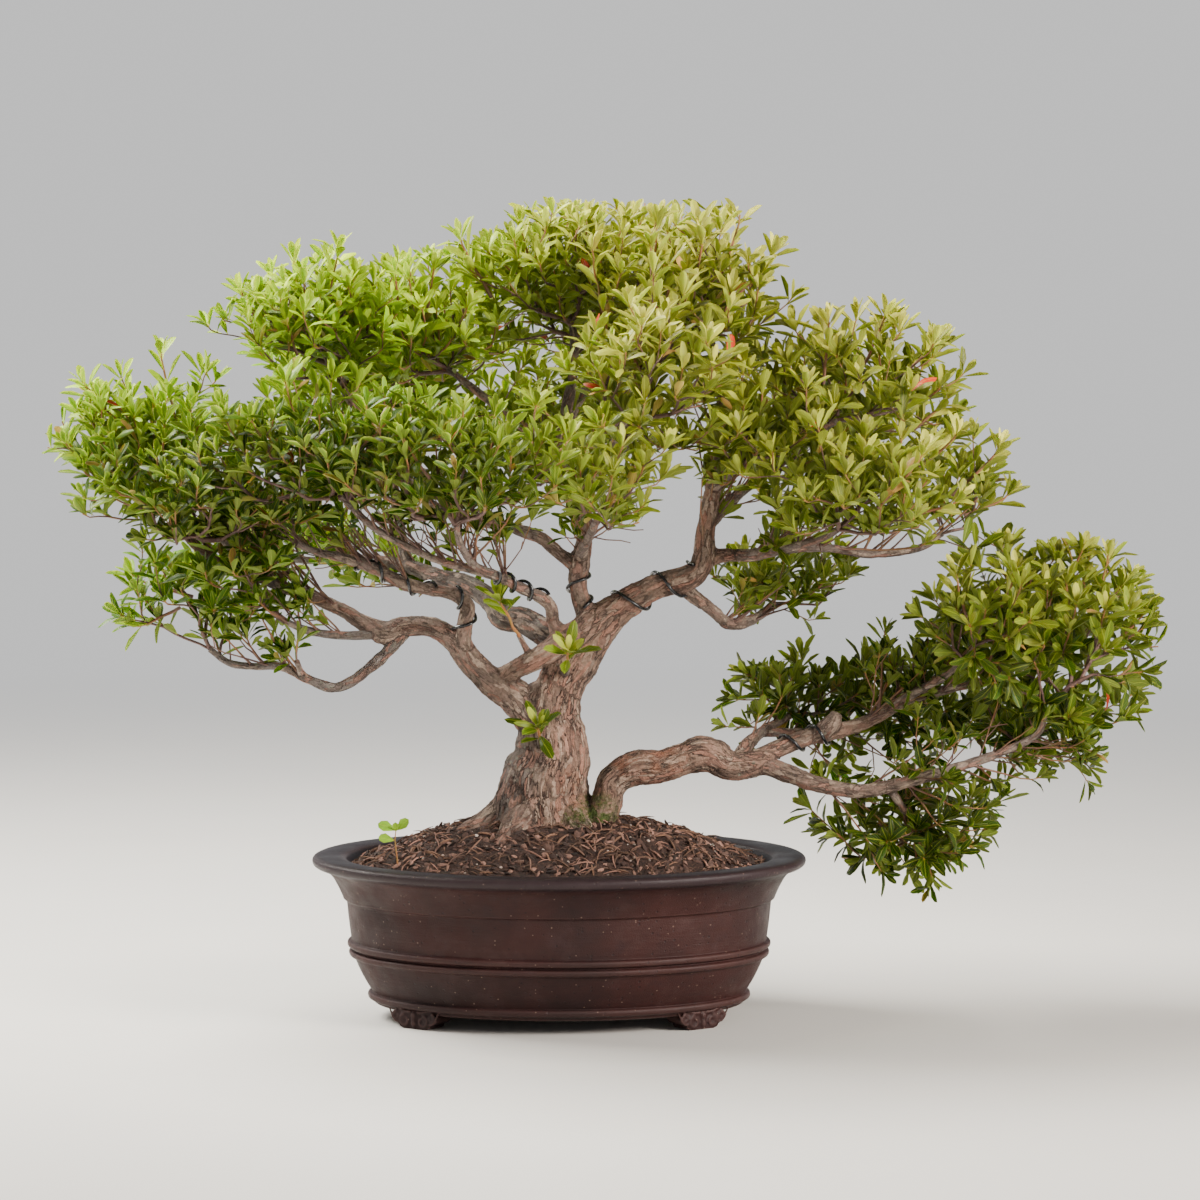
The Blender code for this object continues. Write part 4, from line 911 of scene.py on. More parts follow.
def bark_material():
    """Bark: tan and pinkish, with cracks along the grain, flakes, lichen, moss and smooth grey stretches,
    and painted shade in its hollows and painted light on its raised parts.
    """
    wood = settings().wood
    material, tree, shader = new_material("bark", 0.85)
    position = object_position(tree)
    grain = attribute(tree, "grain", "Vector")
    tone = attribute(tree, "tone")
    between = blend(tree, 0.5, wood.bark[:], wood.bark_pink[:])
    body = grouped(tree, "mottle", vector=position, scale=38.0, first=wood.bark[:], second=between,
                   third=wood.bark_pink[:], amount=0.8)
    grey = grouped(tree, "mottle", vector=position, scale=46.0, first=wood.bark_grey[:],
                   second=paint(120, 108, 100), third=wood.lichen[:], amount=0.6)
    coloured = blend(tree, tone, body.outputs["Colour"], grey.outputs["Colour"])
    swirl = put(tree, "ShaderNodeTexNoise", {"Vector": grain, "Scale": 150.0, "Detail": 4.0})
    swirl = put(tree, "ShaderNodeVectorMath", {0: swirl.outputs["Color"], 1: (0.014, 0.014, 0.014)},
                operation="MULTIPLY")
    warped = put(tree, "ShaderNodeVectorMath", {0: grain, 1: swirl.outputs[0]}).outputs[0]
    plates = put(tree, "ShaderNodeTexVoronoi", {"Vector": warped, "Scale": 230.0})
    rims = put(tree, "ShaderNodeTexVoronoi", {"Vector": warped, "Scale": 230.0},
               feature="DISTANCE_TO_EDGE")
    plate = put(tree, "ShaderNodeSeparateColor", {"Color": plates.outputs["Color"]})
    # Lighter flakes on the raised plates: partly fresh pale flakes, partly painted light on the raised bark.
    flakes = ranged(tree, plate.outputs[0], 0.62, 0.7)
    uneven = ranged(tree, noise_at(tree, position, 300.0), 0.35, 0.6, 0.2, 0.75)
    coloured = blend(tree, product(tree, flakes, uneven), coloured, paint(206, 180, 158))
    rosy = ranged(tree, plate.outputs[1], 0.72, 0.8, 0.0, 0.6)
    coloured = blend(tree, rosy, coloured, blend(tree, 0.5, wood.bark_pink[:], paint(176, 108, 86)))
    dull = ranged(tree, plate.outputs[2], 0.7, 0.78, 0.0, 0.55)
    coloured = blend(tree, dull, coloured, paint(104, 86, 76))
    open_here = ranged(tree, noise_at(tree, position, 70.0, 3.0), 0.42, 0.56, 0.15, 1.0)
    stout = ranged(tree, attribute(tree, "stout"), 0.0, 1.0, 0.45, 0.95)
    # Darker cracks: partly their own dark colour, partly painted shade in the crevices.
    cracks = product(tree, ranged(tree, rims.outputs["Distance"], 0.03, 0.13, 1.0, 0.0), open_here)
    cracks = product(tree, cracks, stout)
    coloured = blend(tree, cracks, coloured, wood.crack[:])
    spots = grouped(tree, "specks", vector=position, scale=170.0, share=0.16).outputs["Mask"]
    patches = ranged(tree, noise_at(tree, position, 24.0), 0.5, 0.6, 0.0, 0.7)
    coloured = blend(tree, product(tree, spots, patches), coloured, wood.lichen[:])
    patches = ranged(tree, noise_at(tree, position, 90.0), 0.42, 0.6)
    flush = product(tree, product(tree, attribute(tree, "flush"), patches), 0.6)
    coloured = blend(tree, flush, coloured, paint(166, 98, 62))
    patches = ranged(tree, noise_at(tree, position, 140.0), 0.38, 0.55)
    moss = product(tree, attribute(tree, "moss"), patches)
    coloured = blend(tree, moss, coloured, settings().mulch.moss[:])
    fine = noise_at(tree, position, 430.0, 6.0, 0.72)
    coloured = blend(tree, 1.0, coloured, ranged(tree, fine, 0.36, 0.64, 0.66, 1.16), "MULTIPLY")
    # Painted shade in the bark's hollows and cracks, and painted light on its raised parts, by its relief.
    shade = ranged(tree, attribute(tree, "hollow_shade"), -1.0, 1.0, 0.6, 1.14)
    tree.links.new(blend(tree, 1.0, coloured, shade, "MULTIPLY"), shader.inputs["Base Color"])
    raised = sum_of(tree, product(tree, plate.outputs[0], 0.8), cracks, "SUBTRACT")
    relief(tree, shader, sum_of(tree, raised, fine), 0.0026, 1.0)
    return material


def twig_material():
    """Twigs: purple-brown wood that turns orange-brown and green towards the young tips."""
    wood = settings().wood
    material, tree, shader = new_material("twig", 0.65)
    position = object_position(tree)
    young = attribute(tree, "young")
    old = grouped(tree, "mottle", vector=position, scale=120.0, first=wood.twig[:],
                  second=paint(112, 84, 74), third=paint(140, 118, 104), amount=0.6)
    fresh = grouped(tree, "mottle", vector=position, scale=160.0, first=wood.shoot[:],
                    second=paint(150, 120, 60), third=paint(128, 70, 48), amount=0.4)
    coloured = blend(tree, young, old.outputs["Colour"], fresh.outputs["Colour"])
    tree.links.new(coloured, shader.inputs["Base Color"])
    relief(tree, shader, noise_at(tree, position, 900.0, 3.0), 0.0004, 0.7)
    return material


def leaf_material():
    """Leaves: each its own green, with a pale midrib, side veins, a thin edge and a paler underside."""
    material, tree, shader = new_material("leaf", 0.4)
    shader.inputs["Specular IOR Level"].default_value = 0.16
    shader.inputs["Subsurface Weight"].default_value = 0.25
    shader.inputs["Subsurface Radius"].default_value = (0.7, 1.0, 0.15)
    shader.inputs["Subsurface Scale"].default_value = 0.0015
    uv = put(tree, "ShaderNodeSeparateXYZ", {"Vector": put(tree, "ShaderNodeUVMap").outputs[0]})
    across, along = uv.outputs["X"], uv.outputs["Y"]
    under = sum_of(tree, across, 1.0, "GREATER_THAN")
    from_middle = sum_of(tree, sum_of(tree, across, 1.0, "MODULO"), 0.5, "SUBTRACT")
    from_rib = sum_of(tree, from_middle, 0.0, "ABSOLUTE")
    colour_here = attribute(tree, "leaf_colour", "Color")
    position = object_position(tree)
    patches = ranged(tree, noise_at(tree, position, 260.0, 3.0), 0.35, 0.65, 0.0, 0.22)
    mottled = blend(tree, patches, colour_here,
                    blend(tree, 1.0, colour_here, paint(200, 190, 120), "MULTIPLY"))
    rib = ranged(tree, from_rib, 0.02, 0.075, 1.0, 0.0)
    slant = sum_of(tree, product(tree, along, 46.0), product(tree, from_rib, -34.0))
    veins = ranged(tree, sum_of(tree, slant, 0.0, "SINE"), 0.72, 1.0, 0.0, 0.30)
    pale = blend(tree, 0.4, colour_here, paint(216, 224, 66))
    veined = blend(tree, sum_of(tree, product(tree, rib, 0.62), veins, "MAXIMUM"), mottled, pale)
    edged = blend(tree, ranged(tree, from_rib, 0.44, 0.5, 0.0, 0.35), veined, paint(150, 120, 60))
    stalk = blend(tree, ranged(tree, along, 0.0, 0.18, 0.8, 0.0), edged, paint(190, 128, 60))
    beneath = blend(tree, 0.34, stalk, paint(150, 166, 66))
    tree.links.new(blend(tree, under, stalk, beneath), shader.inputs["Base Color"])
    tree.links.new(ranged(tree, under, 0.0, 1.0, 0.36, 0.62), shader.inputs["Roughness"])
    raised = sum_of(tree, product(tree, rib, -1.0), veins, "SUBTRACT")
    relief(tree, shader, raised, 0.0004, 0.6)
    return material


def litter_material(name, colours, roughness=0.85, grain=500.0):
    """Mulch pieces: each its own shade between the listed colours, with fibres along it."""
    material, tree, shader = new_material(name, roughness)
    position = object_position(tree)
    ramp = put(tree, "ShaderNodeValToRGB", {"Fac": attribute(tree, "shade")})
    elements = ramp.color_ramp.elements
    elements[0].color = colours[0]
    elements[1].color = colours[-1]
    for index, listed in enumerate(colours[1:-1]):
        elements.new((index + 1) / (len(colours) - 1)).color = listed
    streak = noise_at(tree, position, grain, 4.0, 0.6)
    dark = ranged(tree, streak, 0.3, 0.7, 0.62, 1.15)
    tree.links.new(blend(tree, 1.0, ramp.outputs["Color"], dark, "MULTIPLY"), shader.inputs["Base Color"])
    relief(tree, shader, streak, 0.0008, 0.8)
    return material


def ground_material(name, dark, light, scale):
    """Soil or the mulch's dark bed: crumbs of two colours."""
    material, tree, shader = new_material(name, 0.92)
    position = object_position(tree)
    crumbs = grouped(tree, "mottle", vector=position, scale=scale, first=dark, second=light,
                     third=paint(112, 80, 60), amount=0.5)
    tree.links.new(crumbs.outputs["Colour"], shader.inputs["Base Color"])
    relief(tree, shader, noise_at(tree, position, scale * 5, 6.0, 0.7), 0.0022, 1.0)
    return material


def wire_material():
    """Dark anodised wire, glossy, with faint drawing marks and a few scuffs."""
    material, tree, shader = new_material("anodised_wire", 0.28)
    shader.inputs["Metallic"].default_value = 0.4
    shader.inputs["Coat Weight"].default_value = 0.8
    shader.inputs["Coat Roughness"].default_value = 0.14
    position = object_position(tree)
    scuffs = ranged(tree, noise_at(tree, position, 240.0, 4.0, 0.7), 0.60, 0.72)
    coloured = blend(tree, scuffs, settings().wood.wire[:], paint(92, 96, 108))
    tree.links.new(coloured, shader.inputs["Base Color"])
    gloss = ranged(tree, noise_at(tree, position, 420.0), 0.3, 0.7, 0.2, 0.42)
    tree.links.new(gloss, shader.inputs["Roughness"])
    relief(tree, shader, noise_at(tree, position, 900.0), 0.0003, 0.4)
    return material


def plastic_material():
    """The drain screens' black plastic, dusty with soil."""
    material, tree, shader = new_material("screen_mesh", 0.6)
    dust = ranged(tree, noise_at(tree, object_position(tree), 130.0, 5.0), 0.45, 0.7, 0.0, 0.6)
    tree.links.new(blend(tree, dust, paint(24, 24, 26), paint(84, 62, 48)), shader.inputs["Base Color"])
    return material


# Pot
def oval_ratio(half_length):
    """Return the pot's half-depth over its half-length for a ring of that half-length."""
    reach = max(half_length, FLOOR_HALF_LENGTH * MM)
    return (reach - settings().pot.less_deep) / reach


def softened(rows, times):
    """Cut the corners of an open line of points, which rounds it."""
    for _ in range(times):
        cut = [rows[0]]
        for start, end in zip(rows, rows[1:]):
            cut.append(tuple(0.75 * a + 0.25 * b for a, b in zip(start, end)))
            cut.append(tuple(0.25 * a + 0.75 * b for a, b in zip(start, end)))
        rows = cut + [rows[-1]]
    return rows


def ring_faces(rings, sides):
    """Return the faces between rings of points that follow each other."""
    faces = []
    for ring in range(rings - 1):
        for side in range(sides):
            after = (side + 1) % sides
            faces.append((ring * sides + side, ring * sides + after,
                          (ring + 1) * sides + after, (ring + 1) * sides + side))
    return faces


def oval_turned(name, section, sides):
    """Turn a section of (half-length, height) in metres round the upright axis as an oval, and close it."""
    vertices = []
    rings = section[1:-1]
    for half_length, height in rings:
        half_depth = half_length * oval_ratio(half_length)
        for side in range(sides):
            angle = math.tau * side / sides
            spot = Vector((half_length * math.cos(angle), half_depth * math.sin(angle), height))
            vertices.append(POT_MIDDLE + spot)
    faces = ring_faces(len(rings), sides)
    for ring, (_, height) in ((0, section[0]), (len(rings) - 1, section[-1])):
        pole = len(vertices)
        vertices.append(POT_MIDDLE + Vector((0.0, 0.0, height)))
        for side in range(sides):
            edge = (ring * sides + side, ring * sides + (side + 1) % sides)
            faces.append((pole, *(edge if ring else reversed(edge))))
    turned = mesh_object(name, vertices, faces)
    face_outwards(turned)
    return turned


def face_outwards(thing):
    """Merge a closed mesh's doubles and face it outwards."""
    shape = bmesh.new()
    shape.from_mesh(thing.data)
    bmesh.ops.remove_doubles(shape, verts=shape.verts, dist=0.001 * MM)
    bmesh.ops.recalc_face_normals(shape, faces=shape.faces)
    shape.to_mesh(thing.data)
    shape.free()


def round_bar(points, radii, sides):
    """A closed round bar along points, as vertices and faces."""
    vertices = []
    for point, (_, across, other), radius in zip(points, frames_along(points), radii):
        for side in range(sides):
            vertices.append(point + around(across, other, math.tau * side / sides) * radius)
    faces = ring_faces(len(points), sides)
    faces.append(tuple(reversed(range(sides))))
    faces.append(tuple(range((len(points) - 1) * sides, len(points) * sides)))
    return vertices, faces


def bar_object(name, points, radii, sides):
    """A closed round bar along points."""
    bar = mesh_object(name, *round_bar(points, radii, sides))
    face_outwards(bar)
    return bar


def remeshed(thing, voxel, smoothing):
    """Fuse overlapping closed shapes in one skin, and smooth it."""
    skin = thing.modifiers.new("skin", "REMESH")
    skin.mode = "VOXEL"
    skin.voxel_size = voxel
    if smoothing:
        smooth = thing.modifiers.new("smooth", "SMOOTH")
        smooth.iterations = smoothing
        smooth.factor = 0.5
    return plain_mesh(thing)


def scroll(middle, outer, inner, turns, start, hand):
    """Points of a flat scroll that winds inwards, as (sideways, height) in mm."""
    steps = round(14 * turns)
    points = []
    for step in range(steps + 1):
        part = step / steps
        radius = outer + (inner - outer) * part
        angle = start + hand * math.tau * turns * part
        points.append((middle[0] + radius * math.cos(angle), middle[1] + radius * math.sin(angle)))
    return points


def carved_foot(side, end):
    """One cloud foot: a lobed bracket with scrolls, a boss and two swept wings carved on its outer face."""
    face = FOOT_HALF_DEPTH
    outline = [(across * MM, height * MM) for across, height in FOOT_OUTLINE]
    outline += [(-across, height) for across, height in reversed(outline)]
    low = [Vector((across, -face * MM, height)) for across, height in outline]
    high = [Vector((across, (face - 2.0) * MM, height)) for across, height in outline]
    corners = len(outline)
    faces = [tuple(range(corners)), tuple(reversed(range(corners, 2 * corners)))]
    faces += [(k, (k + 1) % corners, corners + (k + 1) % corners, corners + k) for k in range(corners)]
    parts = [mesh_object("foot", low + high, faces)]
    face_outwards(parts[0])
    for hand in (-1, 1):
        curls = [
            (scroll((hand * 10.0, 7.6), 5.6, 1.4, 1.5, math.pi / 2, -hand), 1.7),
            (scroll((hand * 19.6, 11.4), 3.9, 1.2, 1.25, math.pi / 2, -hand), 1.4),
            ([(hand * x, z) for x, z in UPPER_WING], 1.5),
            ([(hand * x, z) for x, z in LOWER_WING], 1.3),
        ]
        for flat, thick in curls:
            points = [Vector((x * MM, (face - 1.7) * MM, z * MM)) for x, z in flat]
            radii = [thick * MM * (1.0 - 0.45 * k / len(points)) for k in range(len(points))]
            parts.append(bar_object("curl", points, radii, 8))
    boss = [Vector((0.0, (face - 2.6) * MM, z * MM)) for z in (2.2, 5.0, 9.0, 13.0, 16.5)]
    parts.append(bar_object("boss", boss, [k * MM for k in (2.0, 3.4, 2.6, 3.4, 2.0)], 12))
    foot = remeshed(joined("foot", parts), settings().pot.foot_voxel, 1)
    face_outwards(foot)
    turn = Matrix.Rotation(-side * end * FOOT_TURN + (math.pi if end < 0 else 0.0), 4, "Z")
    middle = POT_MIDDLE + Vector((side * FOOT_X, end * FOOT_Y, 0.0)) * MM
    foot.data.transform(Matrix.Translation(middle) @ turn)
    grounded = coordinates(foot)
    grounded[:, 2] = np.maximum(grounded[:, 2], 0.0)
    set_coordinates(foot, grounded)
    return foot


def build_pot():
    """The pot: its turned oval body with drain holes, and four carved feet."""
    pot = settings().pot
    inside = [(0.0, FLOOR_TOP), (FLOOR_HALF_LENGTH, FLOOR_TOP)]
    half = pot.lip_half_length / MM
    wall = softened([(half - inset, height) for inset, height in POT_SECTION], 2)
    rows = inside + wall + [(0.0, FLOOR_UNDERSIDE)]
    section = [(half_length * MM, height * MM) for half_length, height in rows]
    body = oval_turned("pot_body", section, pot.sides)
    wobble = coordinates(body)
    for row in wobble:
        row[2] += 0.35 * MM * noise.noise(Vector(row) * 9.0) * min(1.0, row[2] / (40 * MM))
    set_coordinates(body, wobble)
    holes = []
    for side in (-1, 1):
        middle = POT_MIDDLE + Vector((side * DRAIN_X * MM, 0.0, 0.0))
        ends = [middle, middle + UP * 2 * FLOOR_TOP * MM]
        holes.append(bar_object("hole", ends, [DRAIN_RADIUS * MM] * 2, 32))
    for hole in holes:
        cut = body.modifiers.new("drain", "BOOLEAN")
        cut.operation = "DIFFERENCE"
        cut.object = hole
    plain_mesh(body)
    remove(holes)
    feet = [carved_foot(side, end) for side in (-1, 1) for end in (-1, 1)]
    piece(joined("oval_pot", [body] + feet), "fired_clay", clay_material(), "pot")


def dress_filling():
    """The drain screens and the soil keep their own shapes and get their finish."""
    soil = ground_material("soil", paint(58, 42, 32), paint(84, 62, 46), 90.0)
    finish_with(frame["nodes"]["soil"], soil)
    plastic = plastic_material()
    for name in ("drain_screen_left", "drain_screen_right"):
        finish_with(frame["nodes"][name], plastic)


# Mulch
def mulch_height(half_length):
    """Return the height in mm of the mulch's smooth top at a half-length in mm."""
    return float(np.interp(half_length, *zip(*MULCH_TOP)))


def mulch_level(x, y):
    """Return the height of the mulch's smooth top at a place in the frame."""
    away = Vector((x, y)) - POT_MIDDLE.to_2d()
    return mulch_height(math.hypot(away.x, away.y / oval_ratio(MULCH_OVAL)) / MM) * MM


def build_mulch():
    """The mulch's lumpy bed, and the fibres, chips and grit that lie on it."""
    mulch = settings().mulch
    reach = MULCH_RIM[0]
    widths = [MULCH_FIRST_RING + (reach - MULCH_FIRST_RING) * k / MULCH_RINGS for k in range(MULCH_RINGS + 1)]
    top = [(half_length * MM, mulch_height(half_length) * MM) for half_length in [0.0] + widths]
    under = [(half_length * MM, height * MM) for half_length, height in MULCH_UNDER]
    bed = oval_turned("mulch_bed", top + under, MULCH_SIDES)
    rows = coordinates(bed)
    covers = []
    for row in rows:
        deep = (row[1] - POT_MIDDLE.y) / oval_ratio(MULCH_OVAL)
        away = math.hypot(row[0] - POT_MIDDLE.x, deep) / MM
        is_top = row[2] > mulch_height(min(away, reach)) * MM - 4 * MM
        covers.append(1.0 if is_top and away < LITTER_WITHIN else 0.0)
        if is_top:
            spot = Vector(row)
            lump = 2.8 * noise.noise(spot * 55.0) + 2.6 * noise.noise(spot * 110.0)
            lump += 1.6 * noise.noise(spot * 240.0)
            row[2] += lump * MM * min(1.0, (LUMPS_WITHIN - away) / LUMPS_FADE)
    set_coordinates(bed, rows)
    give(bed, "cover", "FLOAT", covers)
    material = ground_material("mulch_bed", mulch.dark[:], paint(66, 44, 37), 150.0)
    piece(bed, "mulch", material, "mulch")
    fibre = litter_material("bark_fibre", [
        paint(60, 44, 36), mulch.fibre[:], paint(78, 56, 45), paint(104, 78, 62), mulch.fibre_pink[:],
        paint(66, 48, 40)])
    chip = litter_material("bark_chip", [
        paint(38, 26, 23), paint(88, 60, 50), paint(52, 37, 32), paint(158, 118, 102), paint(44, 32, 28),
        paint(70, 48, 40)])
    stone = litter_material("grit", [
        mulch.grit_pale[:], paint(214, 190, 176), paint(120, 108, 100), paint(188, 160, 144)], 0.7, 900.0)
    kinds = (
        ("mulch_fibres", [strand_shape(k) for k in range(6)], mulch.fibres, 0.45, 1.2, 0.32, 0.3, fibre),
        ("mulch_chips", [chip_shape(k) for k in range(6)], mulch.chips, 0.45, 1.25, 0.6, -0.3, chip),
        ("mulch_grit", [stone_shape(k) for k in range(3)], mulch.grit, 0.5, 1.2, 1.5, 0.3, stone),
    )
    for seed, (name, shapes, amount, smallest, largest, tilt, sink, finish) in enumerate(kinds):
        scattered = scatter(name, bed, shapes, amount, (smallest, largest), tilt, sink * MM, seed, finish)
        piece(scattered, "mulch", None)


def scatter(name, ground, shapes, amount, sizes, tilt, sink, seed, material):
    """Scatter copies of shapes over the covered part of a surface."""
    kit = bpy.data.collections.new(name + "_shapes")
    bpy.context.scene.collection.children.link(kit)
    for shape in shapes:
        bpy.context.scene.collection.objects.unlink(shape)
        kit.objects.link(shape)
    thing = added(name, ground.data.copy())
    thing.data.materials.clear()
    per_square_metre = amount * 100.0
    run_tree(thing, litter_tree(), shapes=kit, density=per_square_metre, smallest=sizes[0], largest=sizes[1],
             tilt=tilt, sink=sink, seed=seed, material=material)
    remove(shapes)
    bpy.data.collections.remove(kit)
    return thing


def strand_shape(kind):
    """A curved, tapering strand of bark fibre, 10 to 27 mm long."""
    rng = random.Random(f"strand {kind}")
    long = rng.uniform(10.0, 27.0) * MM
    bend = rng.uniform(-0.5, 0.5)
    arch = rng.uniform(0.03, 0.16)
    points = []
    for step in range(5):
        part = step / 4
        points.append(Vector(((part - 0.5) * long, bend * long * (part - 0.5) ** 2,
                              arch * long * math.sin(math.pi * part) + 0.6 * MM)))
    wide = rng.uniform(0.5, 1.25) * MM
    return bar_object("strand", points, [wide * k for k in (0.45, 0.95, 1.0, 0.85, 0.3)], 4)


def chip_shape(kind):
    """A flat, angular chip of bark, 5 to 15 mm long."""
    rng = random.Random(f"chip {kind}")
    shape = bmesh.new()
    bmesh.ops.create_icosphere(shape, subdivisions=1, radius=1.0)
    long, wide, thick = rng.uniform(3.0, 7.5) * MM, rng.uniform(1.5, 3.6) * MM, rng.uniform(0.8, 2.0) * MM
    for vertex in shape.verts:
        rough = rng.uniform(0.75, 1.2)
        vertex.co = Vector((vertex.co.x * long, vertex.co.y * wide, vertex.co.z * thick)) * rough
    return shape_object("chip", shape)


def stone_shape(kind):
    """A small rounded stone."""
    rng = random.Random(f"stone {kind}")
    shape = bmesh.new()
    bmesh.ops.create_icosphere(shape, subdivisions=1, radius=1.0)
    size = rng.uniform(1.1, 2.0) * MM
    for vertex in shape.verts:
        vertex.co = vertex.co * size * rng.uniform(0.8, 1.15)
    return shape_object("stone", shape)


# Wood
def limb_rows(name, step=3.0):
    """Return a limb's smoothed rows (x, y, z, radius) in mm."""
    return smooth_rows(LIMBS[name], step)


def wood_samples():
    """Return samples of all limbs' middles, radii, frames and where they are along their limbs."""
    middles, radii, across, other, along, owners = [], [], [], [], [], []
    for order, name in enumerate(LIMBS):
        rows = limb_rows(name)
        points = [place(row) for row in rows]
        for point, row, frame_here, far in zip(points, rows, frames_along(points), along_rows(rows)):
            middles.append(point)
            radii.append(row[3] * MM)
            across.append(frame_here[1])
            other.append(frame_here[2])
            along.append((far + 400.0 * order) * MM)
            owners.append(name)
    return (*map(np.array, (middles, radii, across, other, along)), owners)


def nearest_samples(rows, samples):
    """Return, for each point, the limb sample whose skin it is nearest to."""
    middles, radii = samples[0], samples[1]
    found = []
    for start in range(0, len(rows), 2000):
        part = rows[start:start + 2000]
        away = np.linalg.norm(part[:, None, :] - middles[None, :, :], axis=2) - radii[None, :]
        found.append(np.argmin(away, axis=1))
    return np.concatenate(found)


def near_spots(row, spots):
    """Return how near a point is to the listed round spots, from 0 to 1."""
    nearest = 0.0
    for middle, radius in spots:
        away = (Vector(row) - place(middle)).length / (radius * MM)
        nearest = max(nearest, 1.0 - away * away)
    return nearest


def bark_relief(spot, grain, radius):
    """Return how far the bark stands out at a place, in metres, and how deep in a crack it lies."""
    wood = settings().wood
    stout = min(radius / STOUT_RADIUS, 1.0)
    swell = noise.noise(spot * 34.0) * 0.6 + noise.noise(spot * 75.0) * 0.5 + noise.noise(spot * 150.0) * 0.28
    ridge = 1.0 - abs(2.0 * noise.noise(grain * 85.0))
    fine = noise.noise(grain * 260.0)
    crack = max(0.0, ridge - 0.78) / 0.22
    out = wood.lump * swell * min(radius / (16 * MM), 1.0)
    out += wood.fissure * (0.5 * fine - 0.8 * crack) * (0.35 + 0.65 * stout)
    out += 0.5 * MM * noise.noise(spot * 330.0)
    return out, crack


def give_bark(thing, samples, displaced):
    """Give a piece of wood its bark's relief and the attributes that its material reads."""
    rows = coordinates(thing)
    normals = np.empty(len(rows) * 3)
    thing.data.vertices.foreach_get("normal", normals)
    normals = normals.reshape(-1, 3)
    nearest = nearest_samples(rows, samples)
    middles, radii, across, other, along, owners = samples
    away = rows - middles[nearest]
    grain = np.stack([np.sum(away * across[nearest], axis=1), np.sum(away * other[nearest], axis=1),
                      along[nearest] * 0.28], axis=1)
    depth = settings().wood.lump + settings().wood.fissure
    tones, hollow_shades, mosses, flushes = [], [], [], []
    for index, row in enumerate(rows):
        sample = nearest[index]
        out, crack = bark_relief(Vector(row), Vector(grain[index]), radii[sample])
        mosses.append(near_spots(row, MOSS_SPOTS))
        flushes.append(near_spots(row, FLUSH_SPOTS))
        tone = 0.4
        if owners[sample] in GREY_LIMBS:
            tone = 1.0
        elif owners[sample] in PINK_LIMBS:
            tone = 0.1
        if radii[sample] < 5.5 * MM:
            tone = max(tone, 0.75)
        if radii[sample] > 20 * MM:
            left = (GREY_SIDE * MM - row[0] + POT_MIDDLE.x) / (24 * MM)
            tone = clamped(0.35 + left + 0.5 * noise.noise(Vector(row) * 22.0), 0.05, 0.9)
        tones.append(tone)
        # Painted shade and light for the bark's colour: how far it sinks into a hollow or crack, or stands
        # out.
        hollow_shades.append(clamped(out / depth - crack, -1.0))
        if displaced:
            row += normals[index] * out
    set_coordinates(thing, rows)
    give(thing, "grain", "FLOAT_VECTOR", grain)
    give(thing, "tone", "FLOAT", tones)
    give(thing, "stout", "FLOAT", np.minimum(radii[nearest] / STOUT_RADIUS, 1.0))
    give(thing, "hollow_shade", "FLOAT", hollow_shades)
    give(thing, "moss", "FLOAT", mosses)
    give(thing, "flush", "FLOAT", flushes)


def build_wood():
    """The roots, trunk and limbs: thick wood in one skin, and the thin ends of the limbs as fine tubes."""
    wood = settings().wood
    samples = wood_samples()
    thick_parts, chains = [], []
    for name in LIMBS:
        rows = limb_rows(name)
        thick = rows[:, 3] * MM >= wood.thick
        if thick[0]:
            last = len(rows) if thick.all() else int(np.argmin(thick)) + 2
            part = rows[:last]
            part = part[part[:, 2] > BURIED_BELOW]
            points = [place(row) for row in part]
            radii = [row[3] * MM for row in part]
            if last < len(rows):
                for step in range(1, 4):
                    radii[-step] *= (0.55, 0.75, 0.9)[step - 1]
            thick_parts.append(bar_object("limb", points, radii, 20))
            start = max(0, last - 5)
        else:
            start = 0
        if start < len(rows) - 2 and not thick.all():
            chains.append(rows[start:])
    trunk = remeshed(joined("trunk_and_limbs", thick_parts), wood.grain, 2)
    give_bark(trunk, samples, True)
    bark = bark_material()
    piece(trunk, "bark", bark, "trunk")
    rng = random.Random(SEED)
    vertices, edges, thickness = [], [], []
    for rows in chains:
        first = len(vertices)
        for index, row in enumerate(rows):
            spot = place(row)
            knot = 1.0 + 0.16 * noise.noise(spot * 130.0) + rng.uniform(-0.03, 0.03)
            vertices.append(spot)
            thickness.append(row[3] * MM * knot * (0.82 if index == 0 else 1.0))
        edges += [(k, k + 1) for k in range(first, len(vertices) - 1)]
    limbs = mesh_object("limb_ends", vertices, [], edges)
    give(limbs, "thickness", "FLOAT", thickness)
    run_tree(limbs, tubes_tree(), sides=10, material=bark)
    give_bark(limbs, samples, False)
    piece(limbs, "bark", None, "trunk")
    return trunk


def build_moss(trunk):
    """Moss: tufts of short blades where it grows on the bark and at the trunk's foot."""
    mulch = settings().mulch
    thing = added("moss_ground", trunk.data.copy())
    give(thing, "cover", "FLOAT", [near_spots(row, MOSS_SPOTS) for row in coordinates(thing)])
    greens = [paint(60, 78, 26), mulch.moss[:], paint(112, 128, 44)]
    material = litter_material("moss", greens, 0.9, 700.0)
    tufts = [tuft_shape(k) for k in range(3)]
    moss = scatter("moss", thing, tufts, mulch.tufts, (0.6, 1.25), 0.5, 0.3 * MM, 11, material)
    remove([thing])
    piece(moss, "mulch", None)


